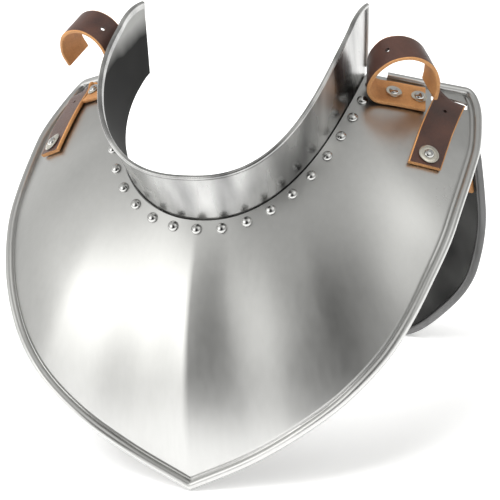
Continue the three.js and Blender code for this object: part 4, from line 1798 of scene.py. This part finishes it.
@dataclass
class ConnectingStraps:
    """Straps over the shoulders, down through the slots and inside the back plate."""

    front: FrontPlate
    back: BackSurface
    width: float = 21.0
    wall: float = 2.6
    lift: float = 0.65
    start: float = 35.0
    rivet: float = 41.0
    reach: float = 42.0
    back_rivet: float = 33.0
    plate_wall: float = 1.4
    hole_share: float = 0.8
    hole: float = 1.2
    over: tuple[float, ...] = (0.0, 0.25, 0.5, 0.75, 0.94)
    behind: tuple[float, ...] = (0.3, 0.5, 0.7, 1.0)
    through: tuple[Row, ...] = table(
        "turn down twist",
        (0.35, -0.2, 0.0),
        (0.66, 0.55, 0.0),
        (0.8, 2.2, 0.15),
    )

    def back_seat(self, down: float) -> tuple[Seat, Array]:
        """Seat inside the back plate's arm, and the width direction there.

        Args:
            down: Distance below the arm's top.

        Returns:
            The seat and the direction.
        """
        side = self.front.strap_side
        height = self.back.height - self.back.foot - down
        up = 1 - down / self.back.height
        here = np.array([side, self.back.depth_at(side, up), height])
        next_to = np.array([side + 1, self.back.depth_at(side + 1, up), height])
        across = unit(next_to - here)
        normal = unit(np.cross(np.array([0.0, 0.0, 1.0]), across))
        inside = self.plate_wall + self.lift + self.wall / 2
        return Seat(here - normal * inside, normal), across

    def frames(self) -> StrapFrames:
        """Stations of the left strap.

        Returns:
            The stations.
        """
        surface, side = self.front.surface, self.front.strap_side
        points, normals, across = [], [], []
        for share in self.over:
            seat = surface.find(side, -(self.start + (self.front.slot_rise - self.start) * share))
            points.append(seat.point + seat.normal * (self.wall / 2 + self.lift))
            normals.append(seat.normal)
            across.append(self.front.edge_along(seat))
        slot = surface.find(side, -self.front.slot_rise)
        top, top_across = self.back_seat(0.0)
        for row in self.through:
            normal = unit(slot.normal * (1 - row["turn"]) + top.normal * row["turn"])
            wide = self.front.edge_along(slot) * (1 - row["twist"]) + top_across * row["twist"]
            points.append(slot.point - slot.normal * row["down"] * self.wall)
            normals.append(normal)
            across.append(unit(wide - normal * (wide @ normal)))
        for share in self.behind:
            seat, wide = self.back_seat(share * self.reach)
            points.append(seat.point)
            normals.append(seat.normal)
            across.append(wide)
        return StrapFrames(np.array(points), np.array(normals), np.array(across))

    def front_rivet(self) -> Seat:
        """Seat of the front rivet on the plate."""
        return self.front.surface.find(self.front.strap_side, -self.rivet)

    def rear_rivet(self) -> Seat:
        """Seat of the rear rivet on the strap's inner face."""
        seat, _ = self.back_seat(self.back_rivet)
        return Seat(seat.point - seat.normal * self.wall / 2, -seat.normal)

    def build(self, finishes: Finishes) -> None:
        """Makes both straps.

        Args:
            finishes: The finishes.
        """
        maker = StrapMaker(self.width, self.wall)
        frames = self.frames().refined()
        rise = self.start + (self.front.slot_rise - self.start) * self.hole_share
        spot = self.front.surface.find(self.front.strap_side, -rise)
        for side in Side:
            name = f"connecting_strap_{side.label}"
            made = maker.make(f"{name}_piece", frames, side, [spot], self.hole, finishes)
            Workshop.hand_over(made, "strap_leather", [name])


@dataclass(frozen=True)
class Loop:
    """Shape of an arm strap's loop from the neck end of the base to the free end."""

    width: float
    height: float
    rows: tuple[Row, ...]


@dataclass
class ArmStraps:
    """Straps with a flat base on the shoulder and a bent loop with punched holes."""

    front: FrontPlate
    width: float = 21.0
    wall: float = 2.4
    lift: float = 0.65
    rivet_side: float = 96.0
    rivet_rise: float = 78.0
    rivet_spacing: float = 16.0
    tail: float = 20.2
    tail_middle: float = 10.5
    tail_drop: float = 3.0
    twist: float = math.radians(22.0)
    hole: float = 1.5
    hole_rows: tuple[int, ...] = (5, 8, 11)
    low: Loop = Loop(38.0, 37.0, table(
        "along up back twist",
        (-0.24, 0.0, 0.0, 0.0),
        (-0.36, 0.06, 0.0, 0.0),
        (-0.45, 0.2, 0.0, 0.0),
        (-0.47, 0.4, 0.0, 0.2),
        (-0.42, 0.64, 0.0, 0.5),
        (-0.27, 0.88, 0.0, 0.8),
        (-0.05, 1.0, 0.0, 1.0),
        (0.18, 0.99, 0.0, 1.0),
        (0.37, 0.87, 0.0, 1.0),
        (0.49, 0.67, 0.0, 1.0),
        (0.54, 0.44, 0.0, 1.0),
        (0.55, 0.24, 0.0, 1.0),
    ))
    tall: Loop = Loop(44.2, 46.8, table(
        "along up back twist",
        (-0.2, 0.0, 0.0, 0.0),
        (-0.32, 0.07, 0.0, 0.0),
        (-0.43, 0.2, 0.08, 0.0),
        (-0.5, 0.4, 0.2, 0.0),
        (-0.54, 0.62, 0.32, 0.0),
        (-0.48, 0.81, 0.38, 0.0),
        (-0.34, 0.95, 0.38, 0.0),
        (-0.14, 1.0, 0.38, 0.0),
        (0.08, 0.97, 0.38, 0.0),
        (0.26, 0.86, 0.38, 0.0),
        (0.4, 0.69, 0.38, 0.0),
        (0.44, 0.5, 0.38, 0.0),
    ))

    def inner(self) -> Seat:
        """Seat of the inner rivet on the plate."""
        return self.front.surface.find(self.rivet_side, -self.rivet_rise)

    def slope(self) -> Array:
        """Direction of the base from the inner rivet outwards."""
        far, drop = self.rivet_side + self.rivet_spacing, self.tail_drop - self.rivet_rise
        return unit(self.front.surface.find(far, drop).point - self.inner().point)

    def outer(self) -> Seat:
        """Seat of the outer rivet."""
        inner = self.inner()
        return Seat(inner.point + self.slope() * self.rivet_spacing, inner.normal)

    def frames(self, loop: Loop) -> StrapFrames:
        """Stations of a strap on the left.

        Args:
            loop: The loop's shape.

        Returns:
            The stations.
        """
        inner, slope = self.inner(), self.slope()
        out, along = inner.normal, self.front.edge_along(inner)
        across = unit(np.cross(out, along))
        base = inner.point + out * (self.wall / 2 + self.lift)
        points = [base + slope * far for far in (self.tail, self.tail_middle, 0.0)]
        normals, wide = [-out] * 3, [across] * 3
        sizes = {"along": loop.width, "up": loop.height, "back": self.width, "twist": self.twist}
        rows = [[row[name] * size for name, size in sizes.items()] for row in loop.rows]
        for i, (side, up, back, twist) in enumerate(rows):
            before, after = rows[max(i - 1, 0)], rows[min(i + 1, len(rows) - 1)]
            ahead = along * (after[0] - before[0]) + out * (after[1] - before[1])
            turned = across * math.cos(twist) - along * math.sin(twist)
            points.append(base + along * side + out * up + across * back)
            normals.append(unit(np.cross(ahead, turned)))
            wide.append(turned)
        return StrapFrames(np.array(points), np.array(normals), np.array(wide))

    def build(self, finishes: Finishes) -> None:
        """Makes both straps.

        Args:
            finishes: The finishes.
        """
        maker = StrapMaker(self.width, self.wall)
        for side, loop in ((Side.LEFT, self.low), (Side.RIGHT, self.tall)):
            frames = self.frames(loop)
            holes = [frames.seat(row) for row in self.hole_rows]
            name = f"arm_strap_{side.label}"
            made = maker.make(f"{name}_piece", frames.refined(), side, holes, self.hole, finishes)
            Workshop.hand_over(made, "strap_leather", [name])


@dataclass
class Fasteners:
    """Washers and rivets that hold the straps."""

    connecting: ConnectingStraps
    arm: ArmStraps
    washer: float = 6.4
    small_washer: float = 5.0
    washer_wall: float = 1.0
    hole: float = 1.7
    head: float = 3.2
    dome: float = 2.0
    tail_head: float = 2.3
    tail_gap: float = 0.9
    gap: float = 0.3
    head_share: float = 0.75
    ring_sharp: float = 60.0
    washer_seed: int = 3
    seed: int = 5
    names: tuple[str, ...] = ("strap", "arm_strap_inner", "arm_strap_outer", "strap_back")

    def seats(self) -> list[tuple[Seat, float, float, float]]:
        """Where the left side's fasteners go.

        Returns:
            Seat, height of the washer, its size as a share and depth of the tail, in the names' order.
        """
        strap_top = self.connecting.wall + self.connecting.lift
        arm_top = self.arm.wall + self.arm.lift
        tail = self.connecting.plate_wall + self.tail_gap
        small = self.small_washer / self.washer
        return [
            (self.connecting.front_rivet(), strap_top, 1.0, tail),
            (self.arm.inner(), arm_top, small, tail),
            (self.arm.outer(), arm_top, small, tail),
            (self.connecting.rear_rivet(), 0.0, 1.0, strap_top + tail),
        ]

    def nodes(self, kind: str) -> list[str]:
        """Names of one kind of fastener on both sides."""
        return [f"{name}_{kind}_{side.label}" for side in Side for name in self.names]

    def build(self, fitter: Fitter, finishes: Finishes) -> None:
        """Makes the washers, the heads and the tails of both sides.

        Args:
            fitter: The trees.
            finishes: The finishes.
        """
        washers, heads = [], []
        for side in Side:
            for seat, top, size, tail in self.seats():
                here, low = seat.on(side), top + self.gap
                washers.append((here.raised(low + self.washer_wall / 2), size))
                heads.append((here.raised(low + self.washer_wall * self.head_share), 1.0))
                heads.append((here.turned().raised(tail), self.tail_head / self.head))
        rings = fitter.scatter("strap_washers", washers, fitter.washers, {
            "Radius": self.washer * MM, "Hole": self.hole * MM, "Wall": self.washer_wall * MM,
            "Seed": self.washer_seed, "Material": finishes.washer})
        Workshop.smooth(Workshop.outward(rings), self.ring_sharp)
        Workshop.hand_over(rings, "washer_steel", self.nodes("washer"))
        domes = fitter.domes("strap_rivets", heads, self.head, self.dome, self.seed, finishes)
        Workshop.hand_over(domes, "rivet_steel", self.nodes("rivet"))


# Studio


@dataclass(frozen=True)
class Panel:
    """A soft light, seen in no reflection: where it is, what it faces, its size and power."""

    name: str
    place: tuple[float, float, float]
    size: tuple[float, float]
    power: float
    colour: tuple[float, float, float] = (1.0, 1.0, 1.0)
    target: tuple[float, float, float] = (0.0, 0.0, 0.1)


@dataclass(frozen=True)
class Glow:
    """A soft bright or dark patch of the surroundings: its direction, tightness and strength."""

    way: tuple[float, float, float]
    power: float
    strength: float


@dataclass
class Studio:
    """Camera, pale floor and soft light."""

    azimuth: float = 25.391
    elevation: float = 26.048
    roll: float = -9.019
    distance: float = 1.59959
    target: tuple[float, float, float] = (0.02971, -0.0382, 0.12834)
    lens: float = 190.12
    sensor: float = 36.0
    floor_half: float = 6.0
    panels: tuple[Panel, ...] = (
        Panel("top_softbox", (-0.55, -0.35, 2.4), (2.0, 2.0), 74.0),
    )
    cloud: float = 3.2
    cloud_range: tuple[float, float] = (0.36, 0.64)
    cloud_light: tuple[float, float] = (0.75, 1.2)
    darkest: float = 0.04
    room: float = 0.56
    room_tint: tuple[float, float, float, float] = (1.0, 1.0, 0.98, 1.0)
    glows: tuple[Glow, ...] = (
        Glow((-0.6, -0.68, 0.42), 15.0, 2.3),
        Glow((0.6, -0.2, 0.78), 12.0, 1.1),
        Glow((-0.95, 0.1, 0.35), 8.0, 0.3),
        Glow((0.16, -0.8, 0.56), 14.0, -0.75),
        Glow((0.03, -0.97, 0.17), 16.0, -0.7),
    )

    def place_camera(self) -> None:
        """Makes the camera at the photograph's angle."""
        lens = bpy.data.cameras.new("camera")
        lens.lens, lens.sensor_width = self.lens, self.sensor
        made = Workshop.linked("camera", lens)
        a, e = math.radians(self.azimuth), math.radians(self.elevation)
        back = Vector((math.sin(a) * math.cos(e), -math.cos(a) * math.cos(e), math.sin(e)))
        made.location = Vector(self.target) + back * self.distance
        made.rotation_mode = "QUATERNION"
        turn = Quaternion((0.0, 0.0, 1.0), math.radians(self.roll))
        made.rotation_quaternion = (-back).to_track_quat("-Z", "Y") @ turn
        bpy.context.scene.camera = made

    def light(self) -> None:
        """Makes the panels and the soft surroundings."""
        for panel in self.panels:
            lamp = bpy.data.lights.new(panel.name, "AREA")
            lamp.shape, lamp.size, lamp.size_y = "RECTANGLE", panel.size[0], panel.size[1]
            lamp.energy, lamp.color = panel.power, panel.colour
            made = Workshop.linked(panel.name, lamp)
            made.location = panel.place
            made.visible_glossy = False
            made.rotation_mode = "QUATERNION"
            aim = Vector(panel.target) - Vector(panel.place)
            made.rotation_quaternion = aim.to_track_quat("-Z", "Y")
        self._surround()

    def _surround(self) -> None:
        """Makes plain grey surroundings with soft brighter and darker glows."""
        world = bpy.data.worlds.new("soft_room")
        world.use_nodes = True
        bpy.context.scene.world = world
        graph = Graph(world.node_tree)
        way = graph.node("ShaderNodeTexCoord").outputs["Generated"]
        level = graph.value(graph.node("ShaderNodeValue"))
        level.socket.default_value = self.room
        for glow in self.glows:
            aim = tuple(Vector(glow.way).normalized())
            dot = graph.node("ShaderNodeVectorMath", {"operation": "DOT_PRODUCT"}, {0: way, 1: aim})
            level = level + graph.value(dot, "Value").at_least(0.0) ** glow.power * glow.strength
        cloud = graph.node("ShaderNodeTexNoise", sockets={"Vector": way, "Scale": self.cloud, "Detail": 1.0})
        low, high = self.cloud_range
        dim, bright = self.cloud_light
        patch = graph.node("ShaderNodeMapRange", sockets={
            0: cloud.outputs[0], "From Min": low, "From Max": high, "To Min": dim, "To Max": bright})
        light = graph.node("ShaderNodeBackground", sockets={
            "Color": self.room_tint, "Strength": level.at_least(self.darkest) * graph.value(patch)})
        graph.node("ShaderNodeOutputWorld", sockets={"Surface": light.outputs[0]})

    def lay_floor(self) -> None:
        """Makes the plain pale floor."""
        mesh = bpy.data.meshes.new("floor")
        half = self.floor_half
        corners = [(-half, -half, 0), (half, -half, 0), (half, half, 0), (-half, half, 0)]
        mesh.from_pydata(corners, [], [(0, 1, 2, 3)])
        mesh.materials.append(FloorFinish().make())
        Workshop.linked("floor", mesh)


def main() -> None:
    """Builds the studio, then every piece."""
    logging.basicConfig(level=logging.INFO, format="%(name)s: %(message)s")
    studio = Studio()
    studio.place_camera()
    finishes, fitter = Finishes.all(), Fitter()
    front = FrontPlate()
    front.build(fitter, finishes)
    Collar().build(fitter, finishes)
    CollarRivets().build(fitter, finishes)
    BackPlate().build(fitter, finishes)
    connecting = ConnectingStraps(front, BackSurface())
    connecting.build(finishes)
    arm = ArmStraps(front)
    arm.build(finishes)
    Fasteners(connecting, arm).build(fitter, finishes)
    studio.light()
    studio.lay_floor()
    bpy.context.scene.view_settings.view_transform = "Standard"
    LOG.info("sizes written")


if __name__ == "__main__":
    main()
